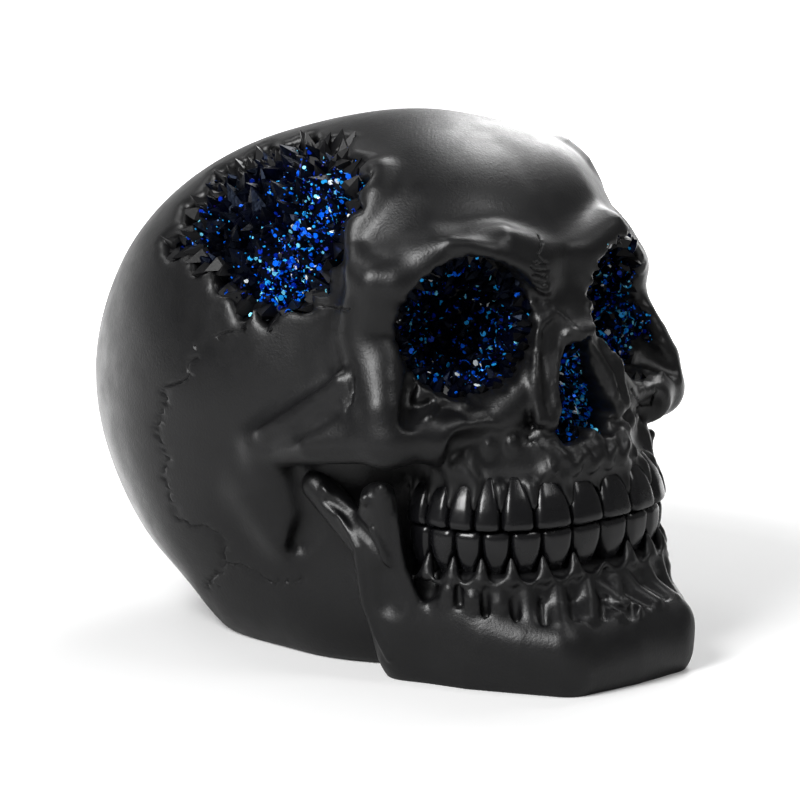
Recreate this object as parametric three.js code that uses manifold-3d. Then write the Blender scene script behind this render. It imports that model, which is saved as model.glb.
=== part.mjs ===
// A geode skull ornament: a cast black skull whose temple, eye sockets and nose are lined with druse crystals.
// Millimetres, +Z up, the face towards -Y and the skull's right side towards -X. The origin is on the table,
// under the middle of the skull.
import * as THREE from "three";
import { mergeVertices } from "three/addons/utils/BufferGeometryUtils.js";
import Module from "manifold-3d";

const wasm = await Module();
wasm.setup();

// Driving sizes of the casting
const skullWidth = 117;
const skullLength = 160;
const skullHeight = 128;
const originSetback = 1;
const creaseSoftness = 1;
const fitGap = 0.35;

// Eye sockets and the druse bowls in them
const eyeSpacing = 52.6;
const eyeSocketWidth = 33.2;
const eyeSocketHeight = 33.6;
const eyeSocketDepth = 24;
const eyeSocketTurn = 27;
const eyeRimTurn = 28;
const eyeBedThickness = 3;
const eyeBedSetback = 6.5;
const eyeCrystalLength = 6.5;
const eyeCrystalWidth = 5;

// Nose opening and the druse in it
const noseWidth = 19;
const noseHeight = 25;
const noseFloorHeight = 56;
const noseDepth = 24;
const noseBedThickness = 4;
const noseCrystalLength = 4;
const noseCrystalWidth = 4;

// Geode in the right temple
const templeLength = 61;
const templeHeight = 53;
const templeTurn = 176;
const templeTilt = 42;
const templeRecess = 3.4;
const templeBedThickness = 4.5;
const templeCrystalLength = 7;
const templeCrystalWidth = 8.5;
const templeCrystalSpacing = 6.2;
const templeCrystalInset = 3;
const templeCrystalLean = 28;

// Teeth: both rows follow one arch, closed at the bite
const archWidth = 64;
const archLength = 27;
const archBack = 38;
const archRoundnessShare = 0.74;
const biteHeight = 37.8;
const toothThickness = 8.5;
const toothOverlap = 0.9;
const biteTrim = 1.2;
const upperToothHeight = 11.5;
const lowerToothHeight = 12;
const toothRootLength = 4.5;
const toothLean = 14;
const upperGumThickness = 9;
const lowerGumThickness = 10;

// Spacing of the surface nets: fine on the face, wider on the back and the crown
const faceSpacing = 4.5;
const backSpacing = 10;
const jawSpacing = 4;
const netMargin = 6;
const cutOverrun = 8;

// The share tables count places in 117ths of the width, 160ths of the length and 128ths of the height
const across = skullWidth / 117;
const along = skullLength / 160;
const up = skullHeight / 128;

// Each row of a form joins or cuts with a soft edge of the given share. A ball has its middle, its radii and its
// turn in degrees, and a bar has its points, each with a radius. Both sides of the skull come from one row.
const braincaseShares = [
  ["join", 1, "ball", [0, 10, 67], [54, 61, 57], 0],
  ["join", 24, "ball", [15, 30, 65], [38, 45, 41], 0],
  ["join", 20, "ball", [0, -15, 89], [42, 39, 36], 0],
  ["join", 12, "ball", [15, -24, 97], [23, 20, 22], 0],
  ["join", 14, "ball", [0, 25, 36], [52, 49, 38], 0],
  ["join", 14, "ball", [0, -4, 14], [42, 40, 30], 0],
  ["cut", 8, "ball", [61, -22, 86], [10, 13, 16], 0],
];
const midfaceShares = [
  ["join", 10, "ball", [0, -28, 74], [38, 22, 34], 0],
  ["join", 8, "ball", [0, -40, 50], [32, 26, 13], 0],
];
const browShares = [
  ["join", 6, "bar", [[4, -53, 97, 4.5], [18, -52, 103.5, 4], [31, -45, 101.5, 4], [41, -36, 91, 4.5]]],
  ["join", 6, "bar", [[42, -32, 94, 4.5], [43, -32, 82, 5.5], [43, -37, 68, 6]]],
];
const cheekShares = [
  ["join", 6, "bar", [[43, -42, 61, 6.5], [35, -48, 59, 6], [22, -53, 61, 4.5], [12, -56, 70, 3.5]]],
  ["join", 5, "bar", [[45, -40, 60, 6.5], [51, -24, 57, 5.2], [50.5, -6, 52, 3.8]]],
  ["join", 5, "bar", [[45.5, -31, 67, 5.5], [49.5, -17, 60.5, 3.8], [51.5, -5, 54.5, 2.5]]],
  ["cut", 5, "ball", [29, -61, 55], [7, 6, 6], 0],
];
const noseBridgeShares = [
  ["join", 5, "bar", [[0, -50, 87, 5], [0, -59, 81.5, 4]]],
  ["join", 3, "bar", [[6, -51, 89, 1.8], [6.8, -56, 76, 2], [11, -60.3, 62, 2.8]]],
  ["join", 4, "bar", [[0, -63, 58, 2.5], [0, -60, 56, 4]]],
];
const mastoidShares = [
  ["join", 8, "bar", [[47, -2, 42, 6], [45, -6, 32, 4]]],
  ["cut", 3, "bar", [[47.5, -14, 47, 2.5], [45, -16, 36, 3], [44.5, -10, 29, 2]]],
];
const jawBodyShares = [
  ["join", 1, "bar", [[0, -72, 5.5, 9], [15, -71, 5.5, 9], [25, -52, 4, 8.5], [31.5, -37, 4, 7]]],
  ["join", 6, "bar", [[0, -71.5, 12, 7], [15, -69.3, 12, 6.6], [25, -52, 13, 7.5], [32, -38, 13, 7]]],
  ["join", 6, "ball", [0, -47, 9], [29, 27, 16], 0],
];
const ramusShares = [
  ["join", 8, "bar", [[33, -36, 9, 6], [39.5, -33, 20, 4.6], [41.5, -32, 32, 4.2], [44, -17, 44.5, 4]]],
  ["join", 6, "bar", [[34, -39, 16, 5], [40, -37.5, 32, 4.2], [43, -38, 45, 3.4]]],
  ["join", 4, "bar", [[42, -33, 38, 2.5], [43.2, -34.5, 44.5, 2.2]]],
  ["cut", 4, "bar", [[37, -46, 46, 4], [34, -45, 30, 5.5], [33, -44, 20, 3]]],
];
const gumBlendShare = 5;
const upperGumInsetShare = 0.1;
const lowerGumInsetShare = 0.03;
const upperGumLevelShare = 1.25;
const lowerGumLevelShare = 1.25;

// Middle of each eye socket, of the nose opening's floor and of the temple geode
const eyePlaceShares = [-49.5, 84.3];
const noseMouthShare = -74;
const templePlaceShares = [-44, 2, 105];

// Outline of the nose opening, one half from the top: shares of half its width and of its height
const noseOutlineShares = [[0, 1], [0.42, 0.88], [0.66, 0.55], [1, 0.2], [0.82, 0], [0.35, 0.02], [0, 0.12]];

// Ragged outline of the temple geode: shares of its length to the front and of its height upwards
const templeOutlineShares = [
  [-0.53, -0.18], [-0.46, -0.09], [-0.54, 0.01], [-0.47, 0.1], [-0.55, 0.25], [-0.43, 0.32], [-0.43, 0.45],
  [-0.29, 0.43], [-0.2, 0.55], [-0.08, 0.47], [0.05, 0.55], [0.14, 0.42], [0.27, 0.42], [0.29, 0.32],
  [0.41, 0.32], [0.37, 0.22], [0.45, 0.18], [0.37, 0.1], [0.4, -0.03], [0.33, -0.08], [0.36, -0.17],
  [0.28, -0.21], [0.32, -0.27], [0.22, -0.3], [0.15, -0.4], [0.1, -0.34], [0.05, -0.43], [-0.03, -0.33],
  [-0.1, -0.35], [-0.16, -0.25], [-0.25, -0.3], [-0.33, -0.2], [-0.43, -0.27],
];

// Crystals standing on the beds: shares of each bed's sizes
const templeCrystalSpreadShares = [0.618, 0.414, 0.732, 0.286];
const noseCrystalShares = [[0, 0.82], [-0.4, 0.5], [0.4, 0.5], [-0.62, 0.18], [0.6, 0.18], [0, 0.3]];
const eyeCrystalCount = 9;
const eyeCrystalLatitudeShare = 0.62;

// Teeth from the middle of the row to the last molar: shares of the whole arch, and outlines of a tooth
const toothSideCount = 8;
const upperToothWidthShares = [0.195, 0.19, 0.15, 0.115, 0.115, 0.115, 0.12];
const lowerToothWidthShares = [0.18, 0.165, 0.145, 0.125, 0.125, 0.13, 0.13];
const upperToothShares = [[0, 0], [0.9, 0], [1, 0.28], [0.94, 0.6], [0.66, 0.88], [0.4, 1]];
const lowerToothShares = [[0, 0], [0.96, 0], [1, 0.22], [0.8, 0.6], [0.46, 0.9], [0.34, 1]];

// Longer than the skull every way, for cuts that take all on one side of a plane
const reach = 2 * skullLength;

// Soft joins of signed distances
function softMin(a, b, blend) {
  const share = Math.min(Math.max(0.5 + (0.5 * (b - a)) / blend, 0), 1);
  return b * (1 - share) + a * share - blend * share * (1 - share);
}

function ballDistance([cx, cy, cz], [rx, ry, rz], turn) {
  const [cos, sin] = [Math.cos(THREE.MathUtils.degToRad(turn)), Math.sin(THREE.MathUtils.degToRad(turn))];
  return (x, y, z) => {
    const [dx, dy, dz] = [x - cx * across, y - cy * along, z - cz * up];
    const [px, py] = [dx * cos + dy * sin, dy * cos - dx * sin];
    const [qx, qy, qz] = [px / (rx * across), py / (ry * along), dz / (rz * up)];
    const near = Math.hypot(qx, qy, qz);
    const slope = Math.hypot(qx / (rx * across), qy / (ry * along), qz / (rz * up)) || 1 / skullLength;
    return (near * (near - 1)) / slope;
  };
}

function barDistance(points) {
  const ends = points.map(([x, y, z, radius]) => [x * across, y * along, z * up, radius * up]);
  return (x, y, z) => {
    let nearest = Infinity;
    for (let i = 1; i < ends.length; i++) {
      const [a, b] = [ends[i - 1], ends[i]];
      const [dx, dy, dz] = [b[0] - a[0], b[1] - a[1], b[2] - a[2]];
      const reach = ((x - a[0]) * dx + (y - a[1]) * dy + (z - a[2]) * dz) / (dx * dx + dy * dy + dz * dz);
      const t = Math.min(Math.max(reach, 0), 1);
      const away = Math.hypot(x - a[0] - t * dx, y - a[1] - t * dy, z - a[2] - t * dz);
      nearest = Math.min(nearest, away - a[3] - t * (b[3] - a[3]));
    }
    return nearest;
  };
}

// Signed distance of a form on both sides of the middle plane: negative inside the casting
function formDistance(rows) {
  const shapes = rows.map(([act, blend, kind, places, radii, turn]) => ({
    act,
    blend: blend * up,
    distance: kind === "ball" ? ballDistance(places, radii, turn) : barDistance(places),
  }));
  return (x, y, z) => {
    const side = Math.hypot(x, creaseSoftness);
    let distance = shapes[0].distance(side, y, z);
    for (const shape of shapes.slice(1)) {
      const next = shape.distance(side, y, z);
      if (shape.act === "join") distance = softMin(distance, next, shape.blend);
      else distance = -softMin(-distance, next, shape.blend);
    }
    return distance;
  };
}

// Surface nets: one vertex for each sheet of surface in a grid cell, and one quad round each crossed grid edge.
// A cell's corners are numbered by their places 0 or 1 along x, y and z, and each face lists its corners in a loop.
const cornerPlaces = [0, 1, 2, 3, 4, 5, 6, 7].map((corner) => [corner & 1, (corner >> 1) & 1, corner >> 2]);
const cellFaces = [0, 1, 2].flatMap((axis) => {
  const [next, last] = [1 << ((axis + 1) % 3), 1 << ((axis + 2) % 3)];
  return [0, 1].map((far) => {
    const start = far << axis;
    return { axis, far, loop: [start, start + next, start + next + last, start + last] };
  });
});

function edgeNumber(cornerA, cornerB) {
  const axis = [1, 2, 4].indexOf(cornerA ^ cornerB);
  const place = cornerPlaces[cornerA];
  return axis * 4 + place[(axis + 1) % 3] + 2 * place[(axis + 2) % 3];
}
const loopEdges = cellFaces.map(({ loop }) => loop.map((corner, step) => edgeNumber(corner, loop[(step + 1) % 4])));

// Which sheet each crossed edge of a cell is on. A face crossed four times can be paired in two ways, and where one
// sheet would meet itself on both sides of it, the other way is used.
function cellSheets(inside, isFlipped) {
  const parent = [...Array(12).keys()];
  const sheetOf = (edge) => (parent[edge] === edge ? edge : sheetOf(parent[edge]));
  const link = (edgeA, edgeB) => (parent[sheetOf(edgeA)] = sheetOf(edgeB));
  const doubled = [];
  cellFaces.forEach(({ loop }, face) => {
    const edges = loopEdges[face];
    const crossed = edges.filter((edge, step) => inside[loop[step]] !== inside[loop[(step + 1) % 4]]);
    if (crossed.length === 2) link(crossed[0], crossed[1]);
    if (crossed.length < 4) return;
    const first = inside[loop[0]] !== isFlipped(face) ? 3 : 0;
    link(edges[first], edges[(first + 1) % 4]);
    link(edges[(first + 2) % 4], edges[(first + 3) % 4]);
    doubled.push([face, edges[first], edges[(first + 2) % 4]]);
  });
  const meeting = doubled.filter(([, edgeA, edgeB]) => sheetOf(edgeA) === sheetOf(edgeB)).map(([face]) => face);
  return { sheetOf, meeting };
}

function surfaceNet(distance, ...marks) {
  const counts = marks.map((axisMarks) => axisMarks.length);
  const gridNumber = ([i, j, k]) => (i * counts[1] + j) * counts[2] + k;
  const shifted = (at, axis, by) => at.map((place, which) => place + (which === axis ? by : 0));
  const values = [];
  for (const x of marks[0]) for (const y of marks[1]) for (const z of marks[2]) values.push(distance(x, y, z));

  const cells = [];
  for (let i = 0; i < counts[0] - 1; i++)
    for (let j = 0; j < counts[1] - 1; j++)
      for (let k = 0; k < counts[2] - 1; k++) {
        const corners = cornerPlaces.map(([a, b, c]) => values[gridNumber([i + a, j + b, k + c])]);
        const inside = corners.map((value) => value < 0);
        if (inside.some(Boolean) && !inside.every(Boolean)) cells.push({ at: [i, j, k], corners, inside });
      }

  const flipped = new Set();
  const faceNumber = (at, face) => {
    const { axis, far } = cellFaces[face];
    return gridNumber(shifted(at, axis, far)) * 3 + axis;
  };
  for (let settled = false; !settled; ) {
    settled = true;
    const met = new Set();
    for (const cell of cells) {
      cell.sheets = cellSheets(cell.inside, (face) => flipped.has(faceNumber(cell.at, face)));
      for (const face of cell.sheets.meeting) {
        const number = faceNumber(cell.at, face);
        if (met.has(number) && !flipped.has(number)) settled = !flipped.add(number);
        met.add(number);
      }
    }
  }

  const positions = [];
  const vertexAt = new Map();
  for (const { at, corners, inside, sheets } of cells) {
    const crossings = new Map();
    for (let corner = 0; corner < 8; corner++)
      for (let axis = 0; axis < 3; axis++) {
        const other = corner | (1 << axis);
        if (other === corner || inside[corner] === inside[other]) continue;
        const share = corners[corner] / (corners[corner] - corners[other]);
        const crossing = marks.map((axisMarks, which) => {
          const from = axisMarks[at[which] + cornerPlaces[corner][which]];
          const to = axisMarks[at[which] + cornerPlaces[other][which]];
          return from + (to - from) * share;
        });
        const edge = edgeNumber(corner, other);
        const sheet = sheets.sheetOf(edge);
        if (!crossings.has(sheet)) crossings.set(sheet, []);
        crossings.get(sheet).push({ edge, crossing });
      }
    for (const members of crossings.values()) {
      for (const { edge } of members) vertexAt.set(gridNumber(at) * 12 + edge, positions.length / 3);
      for (let axis = 0; axis < 3; axis++)
        positions.push(members.reduce((sum, { crossing }) => sum + crossing[axis], 0) / members.length);
    }
  }

  const triangles = [];
  const apart = (a, b) =>
    Math.hypot(...[0, 1, 2].map((axis) => positions[a * 3 + axis] - positions[b * 3 + axis]));
  for (const { at, inside } of cells)
    for (let axis = 0; axis < 3; axis++) {
      if (inside[0] === inside[1 << axis]) continue;
      const [next, last] = [(axis + 1) % 3, (axis + 2) % 3];
      const quad = [[1, 1], [0, 1], [0, 0], [1, 0]].map(([back, down]) => {
        const cell = shifted(shifted(at, next, -back), last, -down);
        return vertexAt.get(gridNumber(cell) * 12 + axis * 4 + back + 2 * down);
      });
      if (!inside[0]) quad.reverse();
      const [a, b, c, d] = quad;
      if (apart(a, c) < apart(b, d)) triangles.push(a, b, c, a, c, d);
      else triangles.push(a, b, d, b, c, d);
    }
  return new wasm.Manifold(
    new wasm.Mesh({
      numProp: 3,
      vertProperties: new Float32Array(positions),
      triVerts: new Uint32Array(triangles),
    }),
  );
}

// Evenly spaced marks, with both ends
function marksBetween(from, to, spacing) {
  const count = Math.ceil((to - from) / spacing);
  return [...Array(count + 1).keys()].map((step) => from + ((to - from) * step) / count);
}

// Solids from three.js geometry, and back
function solidOf(geometry) {
  const bare = geometry.clone();
  bare.deleteAttribute("normal");
  bare.deleteAttribute("uv");
  const merged = mergeVertices(bare, 1e-4);
  return new wasm.Manifold(
    new wasm.Mesh({
      numProp: 3,
      vertProperties: merged.attributes.position.array,
      triVerts: new Uint32Array(merged.index.array),
    }),
  );
}

function geometryOf(solid) {
  const mesh = solid.getMesh();
  const geometry = new THREE.BufferGeometry();
  const places = new Float32Array(mesh.numVert * 3);
  for (let i = 0; i < mesh.numVert; i++)
    for (let axis = 0; axis < 3; axis++) places[i * 3 + axis] = mesh.vertProperties[i * mesh.numProp + axis];
  geometry.setAttribute("position", new THREE.BufferAttribute(places, 3));
  geometry.setIndex([...mesh.triVerts]);
  geometry.computeVertexNormals();
  return geometry;
}

const joined = (solids) => solids.reduce((all, solid) => all.add(solid));
const mirrored = (geometry) => geometry.clone().scale(-1, 1, 1);

// A mirrored geometry keeps its faces outwards when each triangle is turned round
function turnedRound(geometry) {
  const flat = geometry.index ? geometry.toNonIndexed() : geometry.clone();
  const places = flat.attributes.position;
  const [a, b] = [new THREE.Vector3(), new THREE.Vector3()];
  for (let i = 0; i < places.count; i += 3) {
    a.fromBufferAttribute(places, i + 1);
    b.fromBufferAttribute(places, i + 2);
    places.setXYZ(i + 1, b.x, b.y, b.z);
    places.setXYZ(i + 2, a.x, a.y, a.z);
  }
  return flat;
}

// The dental arch: a squared half ellipse in plan, measured from the middle tooth backwards
const archCurve = [...Array(181).keys()].map((step) => {
  const angle = (Math.PI / 2) * (step / 180);
  const x = (archWidth / 2) * Math.sin(angle) ** archRoundnessShare;
  const y = -archBack - archLength * Math.cos(angle) ** archRoundnessShare;
  return new THREE.Vector2(x, y);
});
const archRun = archCurve.map(() => 0);
for (let i = 1; i < archCurve.length; i++) archRun[i] = archRun[i - 1] + archCurve[i].distanceTo(archCurve[i - 1]);
const archTotal = archRun[archRun.length - 1];

function archPlace(share) {
  const run = Math.min(share, 1) * archTotal;
  const i = Math.max(1, archRun.findIndex((length) => length >= run));
  const place = archCurve[i - 1].clone().lerp(archCurve[i], (run - archRun[i - 1]) / (archRun[i] - archRun[i - 1]));
  const way = archCurve[i].clone().sub(archCurve[i - 1]).normalize();
  return { place, angle: Math.atan2(way.y, way.x) };
}

// One gum ridge as a bar along the arch, in the units of the share tables
function gumRow(insetShare, height, thickness) {
  const points = [...Array(13).keys()].map((step) => {
    const { place } = archPlace(step / 12);
    const x = (place.x * (1 - insetShare)) / across;
    const y = (place.y + insetShare * archLength) / along;
    return [x, y, height / up, thickness / 2 / up];
  });
  return ["join", gumBlendShare, "bar", points];
}

const upperGumHeight = biteHeight + upperToothHeight * upperGumLevelShare;
const lowerGumHeight = biteHeight - lowerToothHeight * lowerGumLevelShare;
const craniumDistance = formDistance([
  ...braincaseShares,
  ...midfaceShares,
  ...browShares,
  ...cheekShares,
  ...noseBridgeShares,
  gumRow(upperGumInsetShare, upperGumHeight, upperGumThickness),
  ...mastoidShares,
]);
const jawDistance = formDistance([
  ...jawBodyShares,
  gumRow(lowerGumInsetShare, lowerGumHeight, lowerGumThickness),
  ...ramusShares,
]);

// A row of teeth, rooted upwards or downwards. Each tooth is a turned outline, flattened, leant back at its root and
// run into its neighbours, and the row is trimmed level at the bite.
function toothRow(widthShares, outlineShares, height, isUpper, grow) {
  const teeth = [];
  let start = 0;
  for (const widthShare of widthShares) {
    const { place, angle } = archPlace(start + widthShare / 2);
    start += widthShare;
    const halfWidth = (widthShare * archTotal + toothOverlap) / 2;
    const halfThickness = toothThickness / 2;
    const growShare = grow / Math.min(halfWidth, halfThickness);
    const rootEnd = height + toothRootLength + grow;
    const profile = outlineShares.map(([r, h]) => new THREE.Vector2(r && r + growShare, h * height));
    profile.push(new THREE.Vector2(profile[profile.length - 1].x, rootEnd), new THREE.Vector2(0, rootEnd));
    const tooth = new THREE.LatheGeometry(profile, toothSideCount, Math.PI / toothSideCount);
    tooth.rotateX(Math.PI / 2).scale(halfWidth, halfThickness, 1).translate(0, 0, -biteTrim);
    tooth.rotateX(THREE.MathUtils.degToRad(-toothLean)).rotateZ(angle).translate(place.x, place.y, 0);
    teeth.push(solidOf(tooth), solidOf(turnedRound(mirrored(tooth))));
  }
  const pastBite = new THREE.BoxGeometry(reach, reach, reach).translate(0, 0, fitGap / 2 - reach / 2);
  const row = geometryOf(joined(teeth).subtract(solidOf(pastBite)));
  const placed = isUpper ? row : turnedRound(row.scale(1, 1, -1));
  return solidOf(placed.translate(0, 0, biteHeight));
}
const upperTeeth = (grow) =>
  toothRow(upperToothWidthShares, upperToothShares, upperToothHeight, true, grow);
const lowerTeeth = (grow) =>
  toothRow(lowerToothWidthShares, lowerToothShares, lowerToothHeight, false, grow);

// An outline with its points counterclockwise, moved inwards all round by the same distance
function insetOutline(points, inset) {
  const inward = points.map((point, i) => {
    const way = points[(i + 1) % points.length].clone().sub(point).normalize();
    return new THREE.Vector2(-way.y, way.x);
  });
  return points.map((point, i) => {
    const before = inward[(i + points.length - 1) % points.length];
    const both = before.clone().add(inward[i]);
    return point.clone().addScaledVector(both, inset / (1 + before.dot(inward[i])));
  });
}

// Everything below the table, which gives the casting its flat base
const belowTable = solidOf(new THREE.BoxGeometry(reach, reach, reach).translate(0, 0, -reach / 2));

// A crystal point: a five-sided spike along +Z from its base
function crystal(length, width) {
  return new THREE.ConeGeometry(width / 2, length, 5).rotateX(Math.PI / 2).translate(0, 0, length / 2);
}

// The eye sockets: a ball cut turned towards the temple. The bowl follows it with a gap and stops short of the rim.
function eyeBall(shrink) {
  const ball = new THREE.SphereGeometry(1, 18, 12);
  ball.scale(eyeSocketWidth / 2 - shrink, eyeSocketDepth - shrink, eyeSocketHeight / 2 - shrink);
  return ball.rotateZ(THREE.MathUtils.degToRad(eyeSocketTurn));
}

const eyeMiddle = [eyeSpacing / 2, eyePlaceShares[0] * along, eyePlaceShares[1] * up];

function eyeCrystals() {
  const crystals = [];
  const sink = eyeBedThickness / 2;
  for (let step = 0; step < eyeCrystalCount; step++) {
    const turn = (2 * Math.PI * step) / eyeCrystalCount;
    const wall = new THREE.Vector3(
      Math.cos(turn) * eyeCrystalLatitudeShare * (eyeSocketWidth / 2),
      Math.sqrt(1 - eyeCrystalLatitudeShare ** 2) * eyeSocketDepth,
      Math.sin(turn) * eyeCrystalLatitudeShare * (eyeSocketHeight / 2),
    );
    const seat = wall.clone().multiplyScalar(1 - (fitGap + sink) / wall.length());
    const spike = crystal(eyeCrystalLength, eyeCrystalWidth);
    const facing = new THREE.Quaternion().setFromUnitVectors(
      new THREE.Vector3(0, 0, 1),
      wall.clone().multiplyScalar(-1).normalize(),
    );
    spike.applyQuaternion(facing).translate(seat.x, seat.y, seat.z);
    crystals.push(solidOf(spike.rotateZ(THREE.MathUtils.degToRad(eyeSocketTurn))));
  }
  return joined(crystals);
}

const frontOfEye = new THREE.BoxGeometry(reach, reach, reach).translate(0, -reach / 2, 0);
frontOfEye.rotateZ(THREE.MathUtils.degToRad(eyeRimTurn)).translate(0, eyeBedSetback, 0);
const leftEyeBowl = solidOf(eyeBall(fitGap))
  .subtract(solidOf(eyeBall(fitGap + eyeBedThickness)))
  .subtract(solidOf(frontOfEye))
  .add(eyeCrystals());
const leftEyeBed = geometryOf(leftEyeBowl).translate(...eyeMiddle);
const rightEyeBed = turnedRound(mirrored(leftEyeBed));
const leftEyeCut = eyeBall(0).translate(...eyeMiddle);
const eyeCuts = solidOf(leftEyeCut).add(solidOf(turnedRound(mirrored(leftEyeCut))));

// The nose opening: a pear-shaped cut, with a bed of druse at its end
function nosePrism(shrink, length) {
  const left = noseOutlineShares.map(([x, z]) => new THREE.Vector2((-x * noseWidth) / 2, z * noseHeight));
  const right = left.slice(1, -1).reverse().map((point) => new THREE.Vector2(-point.x, point.y));
  const shape = new THREE.Shape(insetOutline([...left, ...right], shrink));
  const prism = new THREE.ExtrudeGeometry(shape, { depth: length, bevelEnabled: false, curveSegments: 4 });
  return prism.rotateX(Math.PI / 2).translate(0, 0, noseFloorHeight);
}

const noseMouth = noseMouthShare * along;
const noseEnd = noseMouth + noseDepth;
const noseCut = solidOf(nosePrism(0, noseDepth + cutOverrun).translate(0, noseEnd, 0));
const noseBase = solidOf(nosePrism(fitGap, noseBedThickness).translate(0, noseEnd - fitGap, 0));
const noseCrystals = noseCrystalShares.map(([x, z]) => {
  const spike = crystal(noseCrystalLength + noseBedThickness / 2, noseCrystalWidth).rotateX(Math.PI / 2);
  const [px, pz] = [(x * noseWidth) / 2, noseFloorHeight + z * noseHeight];
  return solidOf(spike.translate(px, noseEnd - fitGap - noseBedThickness / 2, pz));
});
const noseBed = noseBase.add(joined(noseCrystals).intersect(solidOf(nosePrism(fitGap, reach).translate(0, noseEnd - fitGap, 0))));

// The temple geode: a ragged hole sunk along the temple's normal, with a bed that follows the braincase
const templeMiddle = new THREE.Vector3(
  templePlaceShares[0] * across,
  templePlaceShares[1] * along,
  templePlaceShares[2] * up,
);
const templeAxes = new THREE.Matrix4();
const templeOut = new THREE.Vector3().setFromSphericalCoords(
  1,
  THREE.MathUtils.degToRad(90 - templeTilt),
  THREE.MathUtils.degToRad(templeTurn),
);
templeOut.set(templeOut.z, templeOut.x, templeOut.y);
const templeFront = new THREE.Vector3(0, 0, 1).cross(templeOut).normalize();
const templeUp = templeOut.clone().cross(templeFront);
templeAxes.makeBasis(templeFront, templeUp, templeOut).setPosition(templeMiddle);

function templeOutline(shrink) {
  const outline = templeOutlineShares.map(
    ([front, high]) => new THREE.Vector2(front * templeLength, high * templeHeight),
  );
  return insetOutline(outline.reverse(), shrink);
}

function templePrism(shrink) {
  const shape = new THREE.Shape(templeOutline(shrink));
  const depth = templeHeight;
  const prism = new THREE.ExtrudeGeometry(shape, { depth, bevelEnabled: false });
  return prism.translate(0, 0, cutOverrun - depth).applyMatrix4(templeAxes);
}

const sideMarks = marksBetween(-skullWidth / 2 - netMargin, skullWidth / 2 + netMargin, faceSpacing);
const faceMarks = marksBetween(-skullLength / 2 - 2 * netMargin, -skullLength / 8, faceSpacing);
const backMarks = marksBetween(-skullLength / 8, skullLength / 2 + netMargin, backSpacing).slice(1);
const lengthMarks = [...faceMarks, ...backMarks];
const jawSideMarks = marksBetween(-skullWidth / 2, skullWidth / 2, jawSpacing);
const jawLengthMarks = marksBetween(-skullLength / 2 - 2 * netMargin, 0, jawSpacing);
const jawHeightMarks = marksBetween(-netMargin, skullHeight / 2, jawSpacing);
const lowMarks = marksBetween(-netMargin, skullHeight * 0.82, faceSpacing);
const crownMarks = marksBetween(skullHeight * 0.82, skullHeight + netMargin, backSpacing).slice(1);
const heightMarks = [...lowMarks, ...crownMarks];
const bottomDistance = (z) => -z - netMargin / 2;
const craniumNet = (sink) => {
  const distance = (x, y, z) => Math.max(craniumDistance(x, y, z) + sink, bottomDistance(z));
  return surfaceNet(distance, sideMarks, lengthMarks, heightMarks);
};
const jawNet = (grow) => {
  const distance = (x, y, z) => Math.max(jawDistance(x, y, z) - grow, bottomDistance(z));
  return surfaceNet(distance, jawSideMarks, jawLengthMarks, jawHeightMarks);
};

// How far the sunk surface of the bed lies below the temple's middle plane, at a place on that plane
function templeSag(x, y) {
  let [high, low] = [-cutOverrun, templeHeight];
  while (low - high > fitGap / 2) {
    const middle = (low + high) / 2;
    const place = new THREE.Vector3(x, y, -middle).applyMatrix4(templeAxes);
    if (craniumDistance(place.x, place.y, place.z) + templeRecess < 0) low = middle;
    else high = middle;
  }
  return low;
}

const templeFloor = templeRecess + templeBedThickness;
const templeCut = solidOf(templePrism(0)).subtract(craniumNet(templeFloor));

// Crystals on a spiral of even spacing, each with its own length, width and lean
function liesInside(outline, x, y) {
  let isInside = false;
  outline.forEach((a, i) => {
    const b = outline[(i + 1) % outline.length];
    if (a.y > y !== b.y > y && x < a.x + ((y - a.y) * (b.x - a.x)) / (b.y - a.y)) isInside = !isInside;
  });
  return isInside;
}

const goldenTurn = Math.PI * (3 - Math.sqrt(5));
const templeCrystals = [];
for (let step = 0; ; step++) {
  const radius = templeCrystalSpacing * Math.sqrt((step + 0.5) / Math.PI);
  if (radius > 0.6 * templeLength) break;
  const [x, y] = [radius * Math.cos(step * goldenTurn), radius * Math.sin(step * goldenTurn)];
  if (!liesInside(templeOutline(templeCrystalInset), x, y)) continue;
  const [longShare, wideShare, leanShare, turnShare] = templeCrystalSpreadShares.map((share) => (step * share) % 1);
  const length = templeCrystalLength * (0.75 + 0.5 * longShare);
  const spike = crystal(length, templeCrystalWidth * (0.8 + 0.4 * wideShare));
  spike.rotateX(THREE.MathUtils.degToRad(templeCrystalLean * leanShare)).rotateZ(2 * Math.PI * turnShare);
  const seat = -templeSag(x, y) - templeBedThickness / 2;
  templeCrystals.push(solidOf(spike.translate(x, y, seat).applyMatrix4(templeAxes)));
}
const templeBed = solidOf(templePrism(fitGap))
  .intersect(craniumNet(templeRecess).add(joined(templeCrystals)))
  .subtract(craniumNet(templeFloor - fitGap));

// The two castings
const cranium = craniumNet(0)
  .subtract(belowTable)
  .subtract(eyeCuts)
  .subtract(noseCut)
  .subtract(templeCut)
  .subtract(jawNet(fitGap))
  .subtract(jawNet(0))
  .subtract(upperTeeth(fitGap))
  .subtract(lowerTeeth(fitGap));
const mandible = jawNet(0).subtract(belowTable).subtract(lowerTeeth(fitGap)).subtract(upperTeeth(fitGap));

// Materials, from the photograph
const resin = { color: 0x0d0e11, roughness: 0.38, metalness: 0 };
const toothResin = { color: 0x0a0b0d, roughness: 0.22, metalness: 0 };
const druse = { color: 0x1c46b8, roughness: 0.25, metalness: 0.5 };

function piece(name, geometry, finish) {
  const mesh = new THREE.Mesh(geometry, new THREE.MeshStandardMaterial(finish));
  mesh.name = name;
  mesh.position.y = originSetback;
  return mesh;
}

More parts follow.
